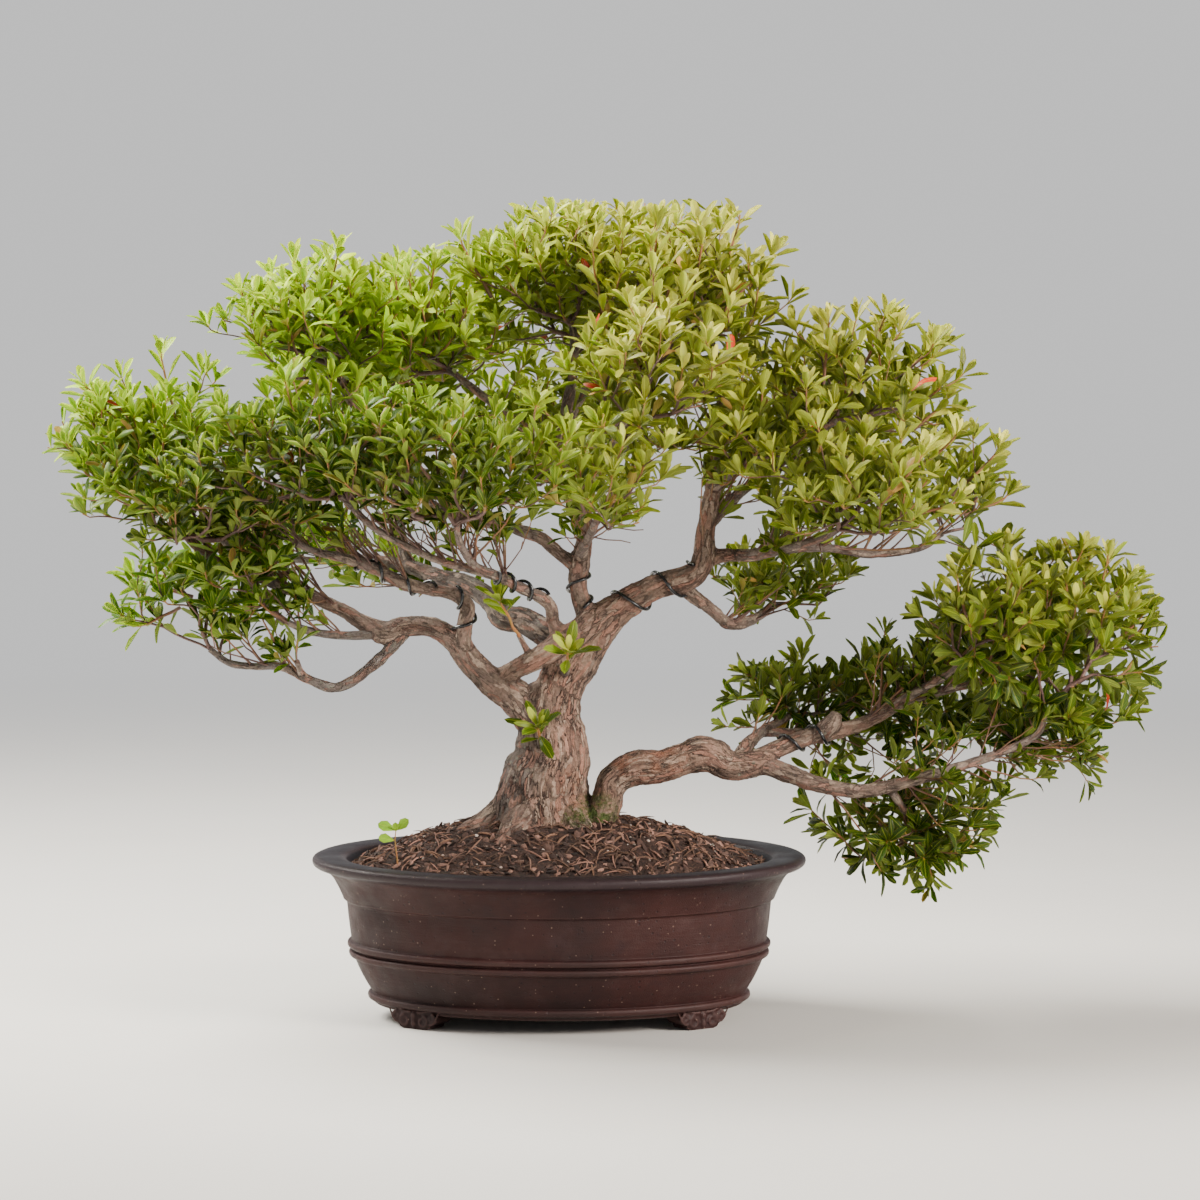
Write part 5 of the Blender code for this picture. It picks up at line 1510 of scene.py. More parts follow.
def tuft_shape(kind):
    """A tuft of short, pointed blades."""
    rng = random.Random(f"tuft {kind}")
    vertices, faces = [], []
    for _ in range(5):
        angle = rng.uniform(0.0, math.tau)
        root = Vector((math.cos(angle), math.sin(angle), 0.0)) * rng.uniform(0.2, 0.9) * MM
        tip = root * rng.uniform(1.4, 2.4) + UP * rng.uniform(1.4, 2.6) * MM
        first = len(vertices)
        for corner in range(3):
            turn = angle + math.tau * corner / 3
            vertices.append(root + Vector((math.cos(turn), math.sin(turn), 0.0)) * 0.3 * MM)
        vertices.append(tip)
        corners = ((0, 1, 3), (1, 2, 3), (2, 0, 3), (2, 1, 0))
        faces += [tuple(first + k for k in listed) for listed in corners]
    return mesh_object("tuft", vertices, faces)


# Wires
def build_wires():
    """The training wires: round wire wound along the bark in even turns, pressed against it."""
    wood = settings().wood
    material = wire_material()
    skins = []
    for name in ("trunk_and_limbs", "limb_ends"):
        shape = bmesh.new()
        shape.from_mesh(bpy.data.objects[name].data)
        skins.append(BVHTree.FromBMesh(shape))
        shape.free()
    for name, limb, start, end, turns, first_angle in WIRES:
        rows = limb_rows(limb, 2.0)
        along = along_rows(rows)
        steps = round(turns * WIRE_STEPS) + 1
        wanted = np.linspace(start, end, steps)
        listed = np.array([np.interp(wanted, along, rows[:, axis]) for axis in range(4)]).T
        points = [place(row) for row in listed]
        across = Vector((0.0, -1.0, 0.0))
        ways, reaches = [], []
        for step, (point, (direction, _, _)) in enumerate(zip(points, frames_along(points))):
            across = (across - direction * across.dot(direction)).normalized()
            angle = math.radians(first_angle) + math.tau * step / WIRE_STEPS
            way = Matrix.Rotation(angle, 3, direction) @ across
            far = (listed[step][3] + WIRE_SEARCH) * MM
            hits = [skin.ray_cast(point + way * far, -way, far) for skin in skins]
            depth = min([hit[3] for hit in hits if hit[0]] or [far - listed[step][3] * MM])
            ways.append(way)
            reaches.append(max(far - depth, listed[step][3] * MM * 0.8))
        reaches = np.convolve(np.pad(reaches, 2, "edge"), np.ones(5) / 5, "valid")
        path = [point + way * (reach + wood.wire_radius + wood.wire_clearance)
                for point, way, reach in zip(points, ways, reaches)]
        coil = bar_object("coil_" + name, path, [wood.wire_radius] * len(path), 10)
        piece(coil, "wire", material, name)


# Leaves
# A leaf's outline, as shares of its length and width, and how far in mm whorls keep inside their cloud.
LEAF_STATIONS = ((0.28, 0.52), (0.62, 1.0), (0.90, 0.64))
WHORL_INSET = 8.0

# Sprays by name: slim ones that take no loose whorls. Then by how their names start: those with larger whorls
# further apart, those that are looser still, those that spread out low down, and those that are bare beneath.
NARROW_SPRAYS = ("droop_twig", "apex_shoot")
OPEN_SPRAYS = (
    "low_right", "right_", "apex_front", "apex_right", "mid_right", "centre_low", "left_low", "left_wired",
    "left_back_under",
)
LOOSE_SPRAYS = ("low_right_outer", "low_right_top", "right_shoulder", "right_tip", "left_low")
HANGING = "low_right"
BARE_BENEATH = ("far_left", "left_", "centre_", "crown_left")

# How whorls are spaced: tries at a place between clouds, and the cells of the grid that finds near ones.
BETWEEN_TRIES = 70000
CELL = 27.0 * MM
NEIGHBOURS = [(x, y, z) for x in (-1, 0, 1) for y in (-1, 0, 1) for z in (-1, 0, 1)]

# How twigs grow, in mm: how near a limb's end they start, how far short of its whorl each aims, the step
# between its points and how much of its end is young.
TWIGS_WITHIN = 95.0
AIM_SHORT = 12
TWIG_STEP = 10
YOUNG_LENGTH = 26.0

# Long shoots that stand out of their sprays: where each starts and ends, in mm.
LONG_SHOOTS = {
    "apex_shoot": [
        ((66, -46, 532), (88, -64, 722)), ((64, -44, 528), (30, -52, 694)),
        ((70, -50, 540), (66, -78, 650)), ((72, -52, 540), (116, -66, 662)),
        ((60, -42, 524), (46, -74, 606)), ((66, -46, 532), (104, -40, 690)),
    ],
    "far_left": [
        ((-340, -24, 470), (-436, -34, 520)), ((-352, -10, 500), (-412, -14, 562)),
        ((-334, -20, 508), (-354, -30, 603)), ((-350, -60, 470), (-420, -78, 500)),
        ((-360, 30, 500), (-430, 44, 540)),
    ],
    "crown_left": [
        ((-211, -6, 620), (-197, -14, 694)), ((-252, 0, 600), (-284, -4, 656)),
        ((-172, 10, 616), (-166, 4, 664)), ((-232, -40, 600), (-246, -60, 652)),
        ((-226, -10, 610), (-236, -16, 684)),
    ],
    "crown_inner": [
        ((-140, -10, 612), (-146, -20, 674)), ((-120, 10, 622), (-112, -4, 676)),
        ((-90, 30, 622), (-78, 36, 684)),
    ],
    "apex_left": [
        ((-60, -10, 650), (-88, -20, 704)), ((-20, 10, 660), (-34, 0, 716)), ((20, 30, 670), (26, 36, 722)),
    ],
    "apex_right": [
        ((140, -2, 654), (162, -8, 724)), ((150, 4, 640), (192, 2, 690)),
        ((120, -30, 650), (128, -46, 706)),
    ],
    "right_shoulder": [
        ((268, -6, 578), (292, -10, 636)), ((300, 10, 570), (338, 12, 612)),
        ((236, -30, 574), (240, -50, 630)), ((316, -6, 530), (348, -14, 560)),
        ((322, -30, 500), (354, -50, 530)),
    ],
    "right_front": [((280, -130, 470), (318, -150, 520)), ((300, -100, 460), (352, -112, 476))],
    "right_tip": [((354, 40, 468), (398, 36, 514)), ((368, 60, 450), (410, 66, 470))],
    "low_right_top": [((440, 0, 372), (470, -10, 424)), ((410, 30, 376), (408, 40, 424))],
    "low_right_outer": [
        ((478, -10, 352), (492, -20, 420)), ((490, -8, 330), (528, -12, 372)),
        ((470, 30, 340), (520, 44, 392)),
    ],
    "low_right_front": [((364, -60, 360), (352, -76, 408)), ((388, -60, 362), (404, -80, 410))],
    "left_low": [((-340, -6, 372), (-384, -12, 356)), ((-330, 10, 380), (-386, 20, 400))],
    "left_middle": [((-330, -96, 470), (-388, -120, 486)), ((-310, -110, 466), (-340, -150, 500))],
    "centre_front": [((-86, -190, 506), (-80, -222, 560)), ((-110, -190, 500), (-132, -226, 540))],
    "left_front": [((-220, -134, 526), (-236, -160, 582)), ((-250, -130, 520), (-292, -150, 560))],
}

# Twigs on the open stretches of limbs: a limb, the shares of its length where they start and end, how many,
# two lengths in mm that theirs lie between or a little past, the share with leaves, and how far they turn
# upwards.
LIMB_TWIGS = [
    ("left_stem", 0.55, 0.99, 40, 36, 84, 0.35, 0.8), ("left_wired", 0.42, 0.99, 26, 32, 74, 0.3, 0.8),
    ("front_left", 0.38, 0.99, 22, 30, 70, 0.35, 0.8),
    ("front_far_left", 0.10, 0.98, 24, 30, 70, 0.35, 0.7),
    ("left_middle", 0.2, 0.98, 18, 30, 66, 0.45, 0.6), ("crown_left", 0.25, 0.9, 20, 30, 70, 0.4, 0.8),
    ("central", 0.40, 0.62, 10, 30, 62, 0.5, 0.5), ("centre_low_front", 0.12, 0.9, 14, 26, 60, 0.5, 0.6),
    ("left_drooping", 0.45, 0.98, 12, 24, 54, 0.7, 0.7), ("left_low_thin", 0.3, 0.98, 9, 24, 50, 0.7, 0.6),
    ("rear_left", 0.5, 0.95, 9, 26, 60, 0.6, 0.7), ("back_middle", 0.2, 0.85, 10, 28, 60, 0.5, 0.6),
    ("right_level", 0.12, 0.92, 20, 28, 66, 0.6, 0.6), ("right_front", 0.15, 0.92, 12, 28, 64, 0.55, 0.6),
    ("right_back", 0.2, 0.9, 8, 28, 60, 0.6, 0.6), ("mid_right_rear", 0.45, 0.97, 12, 24, 52, 0.75, 0.4),
    ("right_limb", 0.5, 0.8, 14, 30, 70, 0.75, 0.4), ("low_right_lower", 0.22, 0.96, 30, 24, 62, 0.85, 0.0),
    ("low_right_upper", 0.30, 0.95, 22, 24, 60, 0.85, 0.5),
    ("low_right_middle", 0.1, 0.9, 6, 22, 48, 0.8, 0.6),
    ("low_right_hanging", 0.25, 0.95, 14, 26, 58, 1.0, -0.2),
    ("low_right_under", 0.1, 0.95, 10, 24, 56, 0.9, -0.1),
    ("low_right_back", 0.1, 0.9, 14, 26, 60, 0.9, 0.0), ("low_right_rear", 0.3, 0.9, 8, 24, 50, 0.9, 0.2),
]


def leaf_shape(name, arch, droop, fold):
    """A closed, thin leaf one metre long and one wide, for copying at its real size."""
    corners = 4 if fold > 0 else 3
    vertices = [Vector((0.0, 0.0, 0.0))]
    along_of = [0.0]
    for along, wide in LEAF_STATIONS:
        rise = arch * math.sin(math.pi * along) - droop * along ** 3
        edge = rise + fold * wide
        vertices += [Vector((along, 0.5 * wide, edge)), Vector((along, 0.0, rise + 0.007)),
                     Vector((along, -0.5 * wide, edge)), Vector((along, 0.0, rise - 0.007))][:corners]
        along_of += [along] * corners
    tip = len(vertices)
    vertices.append(Vector((1.0, 0.0, arch * 0.05 - droop)))
    along_of.append(1.0)
    faces, uvs = [], []

    def add(listed, under):
        """Add a face with its place across and along the leaf."""
        faces.append(listed)
        for vertex in listed:
            corner = (vertex - 1) % corners if vertex not in (0, tip) else 1
            uvs.append(((0.0, 0.5, 1.0, 0.5)[corner] + under, along_of[vertex]))

    for corner in range(corners):
        after = (corner + 1) % corners
        under = 1.0001 if corner >= 2 else 0.0
        add((0, 1 + corner, 1 + after), under)
        for first in range(1, tip - corners, corners):
            second = first + corners
            add((first + corner, second + corner, second + after, first + after), under)
        add((tip - corners + corner, tip, tip - corners + after), under)
    leaf = mesh_object(name, vertices, faces)
    layer = leaf.data.uv_layers.new(name="UVMap")
    layer.data.foreach_set("uv", np.array(uvs, np.float32).ravel())
    face_outwards(leaf)
    leaf.data.shade_smooth()
    leaf.data.set_sharp_from_angle(angle=math.radians(60.0))
    return leaf


class Workshop:
    """What every leafy piece is made with: the leaf shapes, the finishes and the trees."""

    def __init__(self):
        self.kit = {
            "flat_leaf": leaf_shape("leaf_flat", 0.05, 0.05, -0.03),
            "curled_leaf": leaf_shape("leaf_curled", 0.10, 0.20, -0.06),
            "folded_leaf": leaf_shape("leaf_folded", 0.02, -0.05, 0.10),
        }
        self.twig, self.leaf = twig_material(), leaf_material()
        self.tubes, self.leaves = tubes_tree(), leaves_tree()

    def make(self, name, foliage, *nodes):
        """Make a piece of the twigs and leaves that were gathered."""
        stems = mesh_object("stems", foliage.points, [], foliage.edges)
        give(stems, "thickness", "FLOAT", foliage.thickness)
        give(stems, "young", "FLOAT", foliage.young)
        run_tree(stems, self.tubes, sides=foliage.sides, material=self.twig)
        leaves = mesh_object("leaves", foliage.roots, [])
        give(leaves, "turn", "FLOAT_VECTOR", foliage.turns)
        give(leaves, "size", "FLOAT_VECTOR", foliage.sizes)
        give(leaves, "kind", "INT", foliage.kinds)
        give(leaves, "leaf_colour", "FLOAT_COLOR", foliage.colours)
        run_tree(leaves, self.leaves, material=self.leaf, **self.kit)
        spray = joined(name, [leaves, stems])
        spray.data.shade_smooth()
        piece(spray, "leaf", None, *nodes, smooth=False)


class Foliage:
    """The twigs and leaves of one piece, gathered before they are made."""

    def __init__(self, sides=4):
        self.sides = sides
        self.points, self.edges, self.thickness, self.young = [], [], [], []
        self.roots, self.turns, self.sizes, self.kinds, self.colours = [], [], [], [], []

    def add_twig(self, points, thickness, young):
        """Add a twig along points. Thickness and youth are listed for each point, or for both ends."""
        first = len(self.points)
        self.points += points
        for values, given in ((self.thickness, thickness), (self.young, young)):
            values += list(np.linspace(*given, len(points))) if len(given) == 2 else given
        self.edges += [(k, k + 1) for k in range(first, len(self.points) - 1)]

    def add_leaf(self, root, direction, normal, long, wide, kind, tint):
        """Add one leaf that points in a direction, with its upper side towards a normal."""
        if not keeps_inside(root + direction * long):
            return
        across = normal.cross(direction).normalized()
        turn = Matrix((direction, across, direction.cross(across))).transposed().to_euler("XYZ")
        self.roots.append(root)
        self.turns.append(turn[:])
        self.sizes.append((long, wide, long))
        self.kinds.append(kind)
        self.colours.append(tint)


def toward(first, second, amount):
    """Blend two colours by an amount between 0 and 1."""
    amount = clamped(amount)
    return tuple(a + (b - a) * amount for a, b in zip(first, second))


def leaf_tint(root, youth, shade, rng):
    """Choose a leaf's colour by where it grows, how young and how shaded it is, and by chance,
    with painted shade where it is shaded, low down or at the front on the left, and painted light high up.
    """
    leaf = settings().leaf
    x, y, z = (root - POT_MIDDLE) / MM
    right = clamped((x - TINT_LEFT) / (TINT_RIGHT - TINT_LEFT))
    # How high the leaf grows: from painted shade low down to painted light high up.
    high = (z - PAINTED_SHADE_HEIGHT) / (PAINTED_LIGHT_HEIGHT - PAINTED_SHADE_HEIGHT)
    patch = 0.5 + 0.5 * noise.noise(root * 11.0)
    # Painted shade on the low leaves at the front of the left and middle of the crown.
    front_shade = clamped((-y - 20.0) / 130.0) * clamped((PAINTED_LIGHT_HEIGHT - 20.0 - z) / 90.0)
    shade = min(1.0, shade + 0.85 * front_shade * (1.0 - right))
    left = toward(leaf.dark[:], leaf.mid[:], 0.45 + 0.8 * high + 0.3 * youth - 0.7 * shade)
    # Towards fresh yellow-green: partly young leaves, partly a painted glow of light high up.
    left = toward(left, leaf.fresh[:], high * patch + 0.45 * youth - 0.6 * shade)
    grey = toward(leaf.dark[:], leaf.olive[:], 0.35 + 0.6 * high + 0.4 * youth - 0.6 * shade)
    # Towards pale on the right: partly young leaves, partly painted highlights high up.
    grey = toward(grey, leaf.pale[:], 0.7 * youth + 0.5 * patch * high - 0.1 - 0.5 * shade)
    tint = toward(left, grey, right)
    chance = rng.random()
    if chance < 0.0022:
        tint = leaf.red[:]
    elif chance < 0.006 + 0.03 * shade:
        tint = toward(tint, leaf.old[:], 0.8)
    # A random brightness, with brighter painted highlights on the right, darkened by painted shade and low
    # down.
    light = rng.uniform(0.62 - 0.2 * right, 1.2 + 0.3 * right) * (1.0 - 0.65 * shade)
    light *= clamped(0.82 + 0.7 * high, 0.45)
    return tuple(value * light for value in tint[:3]) + (1.0,)


def add_whorl(foliage, path, axis, rng, size=1.0, young=0.0, counts=(5, 6, 7, 7, 8), lower=(2, 3, 3, 4),
              shade=0.0):
    """Add a whorl of leaves at a twig's end, with a few more below it."""
    leaf = settings().leaf
    upper = rng.choice(counts)
    below = rng.choice(lower)
    spin = rng.uniform(0.0, math.tau)
    side = axis.orthogonal().normalized()
    other = axis.cross(side)
    for order in range(upper + below):
        angle = spin + order * GOLDEN_ANGLE + rng.uniform(-0.2, 0.2)
        if order < upper:
            part = order / upper
            back = 6.0 * part * MM
            rise = math.radians(74.0 - 46.0 * part + rng.uniform(-9.0, 9.0))
            grown = 0.62 + 0.44 * part
        else:
            part = 1.0
            back = (9.0 + 6.0 * (order - upper) + rng.uniform(0.0, 4.0)) * MM
            rise = math.radians(rng.uniform(12.0, 48.0))
            grown = rng.uniform(0.75, 1.0)
        long = leaf.long * size * grown * rng.uniform(0.88, 1.1)
        wide = long * leaf.wide * rng.uniform(0.85, 1.15)
        out = around(side, other, angle)
        direction = around(out, axis, rise).normalized()
        root = spot_on(path, back)
        normal = axis - direction * axis.dot(direction)
        if normal.length < 0.2:
            normal = -out
        normal = Matrix.Rotation(rng.uniform(-0.3, 0.3), 3, direction) @ normal.normalized()
        youth = max(0.0, 1.0 - 1.6 * part) * (0.6 + young) + 0.4 * young
        kind = 2 if part < 0.3 else rng.choice((0, 0, 1))
        foliage.add_leaf(root, direction, normal, long, wide, kind, leaf_tint(root, youth, shade, rng))


def keeps_inside(point):
    """Tell whether a point is inside the solids' box."""
    return all(low + MM < value < high - MM for low, value, high in zip(CAD_LOW, point, CAD_HIGH))


def spot_on(path, back):
    """Return the point of a path that is a distance back from its end."""
    for end, start in zip(reversed(path), reversed(path[:-1])):
        step = (end - start).length
        if back <= step:
            return end.lerp(start, back / step)
        back -= step
    return path[0].copy()


def cell_of(spot):
    """Return the cell of the grid that a spot is in."""
    return tuple(math.floor(value / CELL) for value in spot)


def is_free(spot, grid, spacing):
    """Tell whether no whorl in the grid is nearer than the spacing."""
    cell = cell_of(spot)
    for offset in NEIGHBOURS:
        for other in grid.get(tuple(a + b for a, b in zip(cell, offset)), ()):
            if (other - spot).length < spacing:
                return False
    return True


def add_to_grid(grid, head):
    """Note a whorl's place."""
    grid.setdefault(cell_of(head), []).append(head)


def opened(name):
    """Return how much larger and further apart a spray's whorls are than the others'."""
    return settings().leaf.opened ** (name.startswith(OPEN_SPRAYS) + 0.7 * name.startswith(LOOSE_SPRAYS))


def cloud(listed):
    """Return the middle and the half-sizes of the room that a spray's whorls have."""
    return place(listed[2]), Vector([max(half - WHORL_INSET, 6.0) * MM for half in listed[3]])


def whorl_at(listed, head, rng):
    """Return a whorl: its place, the way it faces, and how shaded it is in its cloud."""
    centre, reach = cloud(listed)
    out = Vector([a / b for a, b in zip(head - centre, reach)])
    open_sky = 0.55 * min(out.length, 1.0) + 0.45 * (0.5 + 0.5 * clamped(out.z, -1.0))
    if out.length > 1.0:
        out.normalize()
    outwards, upwards = (0.85, 0.5) if listed[0].startswith(HANGING) else (0.55, 0.95)
    axis = out * outwards + UP * upwards + nudge(rng, 0.24)
    return head, axis.normalized(), clamped(1.25 - 1.35 * open_sky)


def in_gap(head, share_open):
    """Tell whether a spot lies in one of the gaps between the plant's pads."""
    return noise.noise(head * 17.0 + Vector((3.0, 1.0, 7.0))) < share_open


def scatter_between(rng, grid):
    """Scatter looser whorls in the room between the clouds, and give each to the nearest cloud."""
    leaf = settings().leaf
    broad = [listed for listed in SPRAYS if listed[0] not in NARROW_SPRAYS]
    middles = np.array([cloud(listed)[0][:] for listed in broad])
    reaches = np.array([cloud(listed)[1][:] for listed in broad])
    added = {}
    for _ in range(BETWEEN_TRIES):
        pick = rng.randrange(len(broad))
        direction = random_direction(rng)
        depth = rng.uniform(1.0, 1.7)
        spot = middles[pick] + reaches[pick] * np.array(direction) * depth
        away = np.linalg.norm((spot - middles) / reaches, axis=1)
        order = np.argsort(away)
        if away[order[0]] < 1.0 or away[order[1]] > 1.75 or not keeps_inside(spot):
            continue
        head = Vector(spot)
        owner = broad[order[0]]
        beneath = head.z < middles[order[0]][2] - 0.45 * reaches[order[0]][2]
        if beneath and owner[0].startswith(BARE_BENEATH):
            continue
        if is_free(head, grid, leaf.between * opened(owner[0])) and not in_gap(head, -0.2):
            add_to_grid(grid, head)
            added.setdefault(owner[0], []).append(whorl_at(owner, head, rng))
    return added


def scatter_whorls(listed, grid, rng):
    """Scatter a spray's whorls through its cloud, fewer of them inside and beneath, clear of each other."""
    name = listed[0]
    spacing = settings().leaf.spacing * opened(name)
    hangs = name.startswith(HANGING)
    lowest, skipped = -0.3, 0.55
    if hangs:
        skipped = 0.1
    elif name.startswith(BARE_BENEATH):
        lowest, skipped = -0.1, 0.85
    centre, reach = cloud(listed)
    heads = [place(spot) for spot in REACHING_WHORLS.get(name, [])]
    volume = 4.0 / 3.0 * math.pi * reach.x * reach.y * reach.z
    wanted = max(1, round(settings().leaf.fill * volume / spacing ** 3))
    for head in heads:
        add_to_grid(grid, head)
    found = []
    for _ in range(40 * wanted):
        direction = random_direction(rng)
        ragged = 1.0 + 0.5 * noise.noise(direction * 1.6 + centre * 40.0)
        depth = (0.3 + 0.7 * math.sqrt(rng.random())) * ragged * (1.0 + 0.25 * rng.random() ** 4)
        if direction.z < lowest and rng.random() < skipped:
            continue
        head = centre + Vector([a * b for a, b in zip(direction, reach)]) * depth
        if is_free(head, grid, spacing) and keeps_inside(head) and (hangs or not in_gap(head, -0.34)):
            add_to_grid(grid, head)
            found.append(head)
            if len(found) == wanted:
                break
    return [whorl_at(listed, head, rng) for head in heads + found]


def bent_path(start, way, head, axis, rng):
    """Return the points of a twig that leaves its parent one way and ends along its whorl's axis."""
    gap = head - start
    far = gap.length
    out = (way * 0.5 + gap.normalized()).normalized() * far * 0.8
    end = axis * far * 0.65
    steps = max(2, round(far / (TWIG_STEP * MM)))
    points = []
    for step in range(1, steps + 1):
        t = step / steps
        spot = (start * (2 * t ** 3 - 3 * t ** 2 + 1) + out * (t ** 3 - 2 * t ** 2 + t)
                + head * (-2 * t ** 3 + 3 * t ** 2) + end * (t ** 3 - t ** 2))
        if step < steps:
            spot += Vector([rng.uniform(-0.7, 0.7) * MM for _ in range(3)])
        points.append(spot)
    return points


def grow_twigs(limb, whorls, rng):
    """Grow twigs from a limb's end to its whorls, each from where it stays short.

    Returns all the twigs' points, how many whorls each of them carries, and each twig's path through them.
    """
    rows = limb_rows(limb, 10.0)
    along = along_rows(rows)
    spots = [place(row) for row in rows[along > max(along[-1] - TWIGS_WITHIN, 0.45 * along[-1])]]
    ways = [frame_here[0] for frame_here in frames_along(spots)] if len(spots) > 1 else [UP]
    parents = [None] + list(range(len(spots) - 1))
    lengths = [0.25 * (spots[-1] - spot).length for spot in spots]
    loads = [0] * len(spots)
    paths = []
    end = spots[-1]
    for head, axis, shade in sorted(whorls, key=lambda whorl: (whorl[0] - end).length):
        goal = head - axis * AIM_SHORT * MM
        gaps = np.array(goal[:]) - np.array([spot[:] for spot in spots])
        far = np.linalg.norm(gaps, axis=1)
        turns = 1.0 - np.sum(gaps * np.array([way[:] for way in ways]), axis=1) / np.maximum(far, 1e-9)
        start = int(np.argmin(far * (1.0 + 0.35 * turns) + 0.32 * np.array(lengths)))
        path = [start]
        for spot in bent_path(spots[start], ways[start], head, axis, rng):
            before = path[-1]
            ways.append((spot - spots[before]).normalized())
            lengths.append(lengths[before] + (spot - spots[before]).length)
            parents.append(before)
            loads.append(0)
            spots.append(spot)
            path.append(len(spots) - 1)
        paths.append((path, axis, shade))
        above = path[-1]
        while above is not None:
            loads[above] += 1
            above = parents[above]
    return spots, loads, paths


def long_shoot(foliage, start, end, rng):
    """Add a long upright shoot with leaves that stand all along it."""
    leaf = settings().leaf
    axis = ((end - start).normalized() + UP).normalized()
    points = [start] + bent_path(start, (end - start).normalized(), end, axis, rng)
    foliage.add_twig(points, (1.8 * MM, 0.7 * MM), (0.1, 1.0))
    far = sum((b - a).length for a, b in zip(points, points[1:]))
    add_whorl(foliage, points, axis, rng, size=1.05, young=0.3, lower=(0,))
    spin, back = rng.uniform(0.0, math.tau), 10.0 * MM
    while back < 0.8 * far:
        spin += GOLDEN_ANGLE
        root = spot_on(points, back)
        along = (spot_on(points, max(back - 4 * MM, 0.0)) - root).normalized()
        side = along.orthogonal().normalized()
        out = around(side, along.cross(side), spin)
        rise = math.radians(rng.uniform(34.0, 58.0))
        direction = around(out, along, rise).normalized()
        normal = (along - direction * along.dot(direction)).normalized()
        long = leaf.long * rng.uniform(0.9, 1.18)
        foliage.add_leaf(root, direction, normal, long, long * leaf.wide, rng.choice((0, 0, 1)),
                         leaf_tint(root, 0.5, 0.1, rng))
        back += rng.uniform(6.0, 9.5) * MM


def build_spray(workshop, listed, whorls):
    """One spray: its twigs and all its leaves."""
    name, limb = listed[0], listed[1]
    rng = random.Random(f"{SEED} {name} twigs")
    spots, loads, paths = grow_twigs(limb, whorls, rng)
    widest = LIMBS[limb][-1][3] * MM * 0.95
    foliage = Foliage()
    for path, axis, shade in paths:
        thickness, young = [], []
        for order, index in enumerate(path):
            load = max(loads[path[max(order, 1)]], 1)
            thickness.append(min(0.62 * MM * load ** 0.42, widest) * rng.uniform(0.92, 1.1))
            tip = max(0.0, 1.0 - (len(path) - 1 - order) * TWIG_STEP / YOUNG_LENGTH)
            young.append(tip if loads[index] < 3 else 0.0)
        points = [spots[index] for index in path]
        foliage.add_twig(points, thickness, young)
        add_whorl(foliage, points, axis, rng, size=opened(name) ** 0.6, shade=shade)
    for start, end in LONG_SHOOTS.get(name, ()):
        long_shoot(foliage, place(start), place(end), rng)
    workshop.make("leafy_spray_" + name, foliage, "spray_" + name)


def build_foliage():
    """All the sprays, the young shoots on the trunk, the twigs on the limbs and the seedling."""
    workshop = Workshop()
    grid, whorls = {}, {}
    for listed in SPRAYS:
        whorls[listed[0]] = scatter_whorls(listed, grid, random.Random(f"{SEED} {listed[0]}"))
    extra = scatter_between(random.Random(f"{SEED} between"), grid)
    for listed in SPRAYS:
        build_spray(workshop, listed, whorls[listed[0]] + extra.get(listed[0], []))
    for name, limb, head in TRUNK_SHOOTS:
        rng = random.Random(f"{SEED} {name}")
        rows = limb_rows(limb, 5.0)
        start, way = place(rows[0]), (place(rows[-1]) - place(rows[0])).normalized()
        axis = (way + Vector((0.0, -0.35, 0.5))).normalized()
        points = [start] + bent_path(start, way, place(head), axis, rng)
        foliage = Foliage(6)
        foliage.add_twig(points, (LIMBS[limb][1][3] * 0.7 * MM, 0.8 * MM), (1.0, 1.0))
        add_whorl(foliage, points, axis, rng, size=1.25, young=0.5, counts=(8, 9), lower=(3, 4))
        workshop.make("leafy_" + name, foliage, name)
    build_limb_twigs(workshop)
    build_seedling(workshop)
    remove(list(workshop.kit.values()))


def build_limb_twigs(workshop):
    """Thin twigs that stand on the open stretches of the limbs, some with leaves and some bare."""
    foliage = Foliage(3)
    for name, low, high, amount, short, long, leafy, lift in LIMB_TWIGS:
        rng = random.Random(f"{SEED} {name} limb twigs")
        rows = limb_rows(name, 4.0)
        frames = frames_along([place(row) for row in rows])
        for _ in range(amount):
            where = rng.uniform(low, high)
            index = round(where * (len(rows) - 1))
            along, across, other = frames[index]
            out = around(across, other, rng.uniform(0.0, math.tau))
            if out.z < 0.0 < lift:
                out = Vector((out.x, out.y, -out.z))
            way = (out * 0.7 + along * rng.uniform(0.3, 1.5) + UP * lift * rng.uniform(0.2, 1.1)).normalized()
            start = place(rows[index]) + out * rows[index][3] * 0.6 * MM
            far = rng.uniform(0.7 * short, 1.25 * long) * MM
            add_limb_twig(foliage, start, way, far, leafy, rng, rng.choice((0, 1, 2)), rng.uniform(0.85, 1.8))
    workshop.make("limb_twigs", foliage)


def add_limb_twig(foliage, start, way, far, leafy, rng, forks, thick):
    """Add one twig, its leaves if it has any, and its forks."""
    head = start + way * far
    axis = (way + UP * 0.5 + nudge(rng, 0.5)).normalized()
    points = [start] + bent_path(start, way, head, axis, rng)
    has_leaves = rng.random() < leafy
    foliage.add_twig(points, (thick * MM, 0.5 * MM), (0.0, 1.0 if has_leaves else 0.15))
    if has_leaves:
        add_whorl(foliage, points, axis, rng, size=rng.uniform(0.8, 1.0), counts=(5, 6, 7), lower=(0, 1, 2),
                  shade=rng.uniform(0.25, 0.75))
    for _ in range(forks):
        begin = points[rng.randrange(1, len(points))]
        turned = (way + nudge(rng, 0.9)).normalized()
        add_limb_twig(foliage, begin, turned, far * rng.uniform(0.35, 0.7), leafy * 0.8, rng, 0, 0.75)


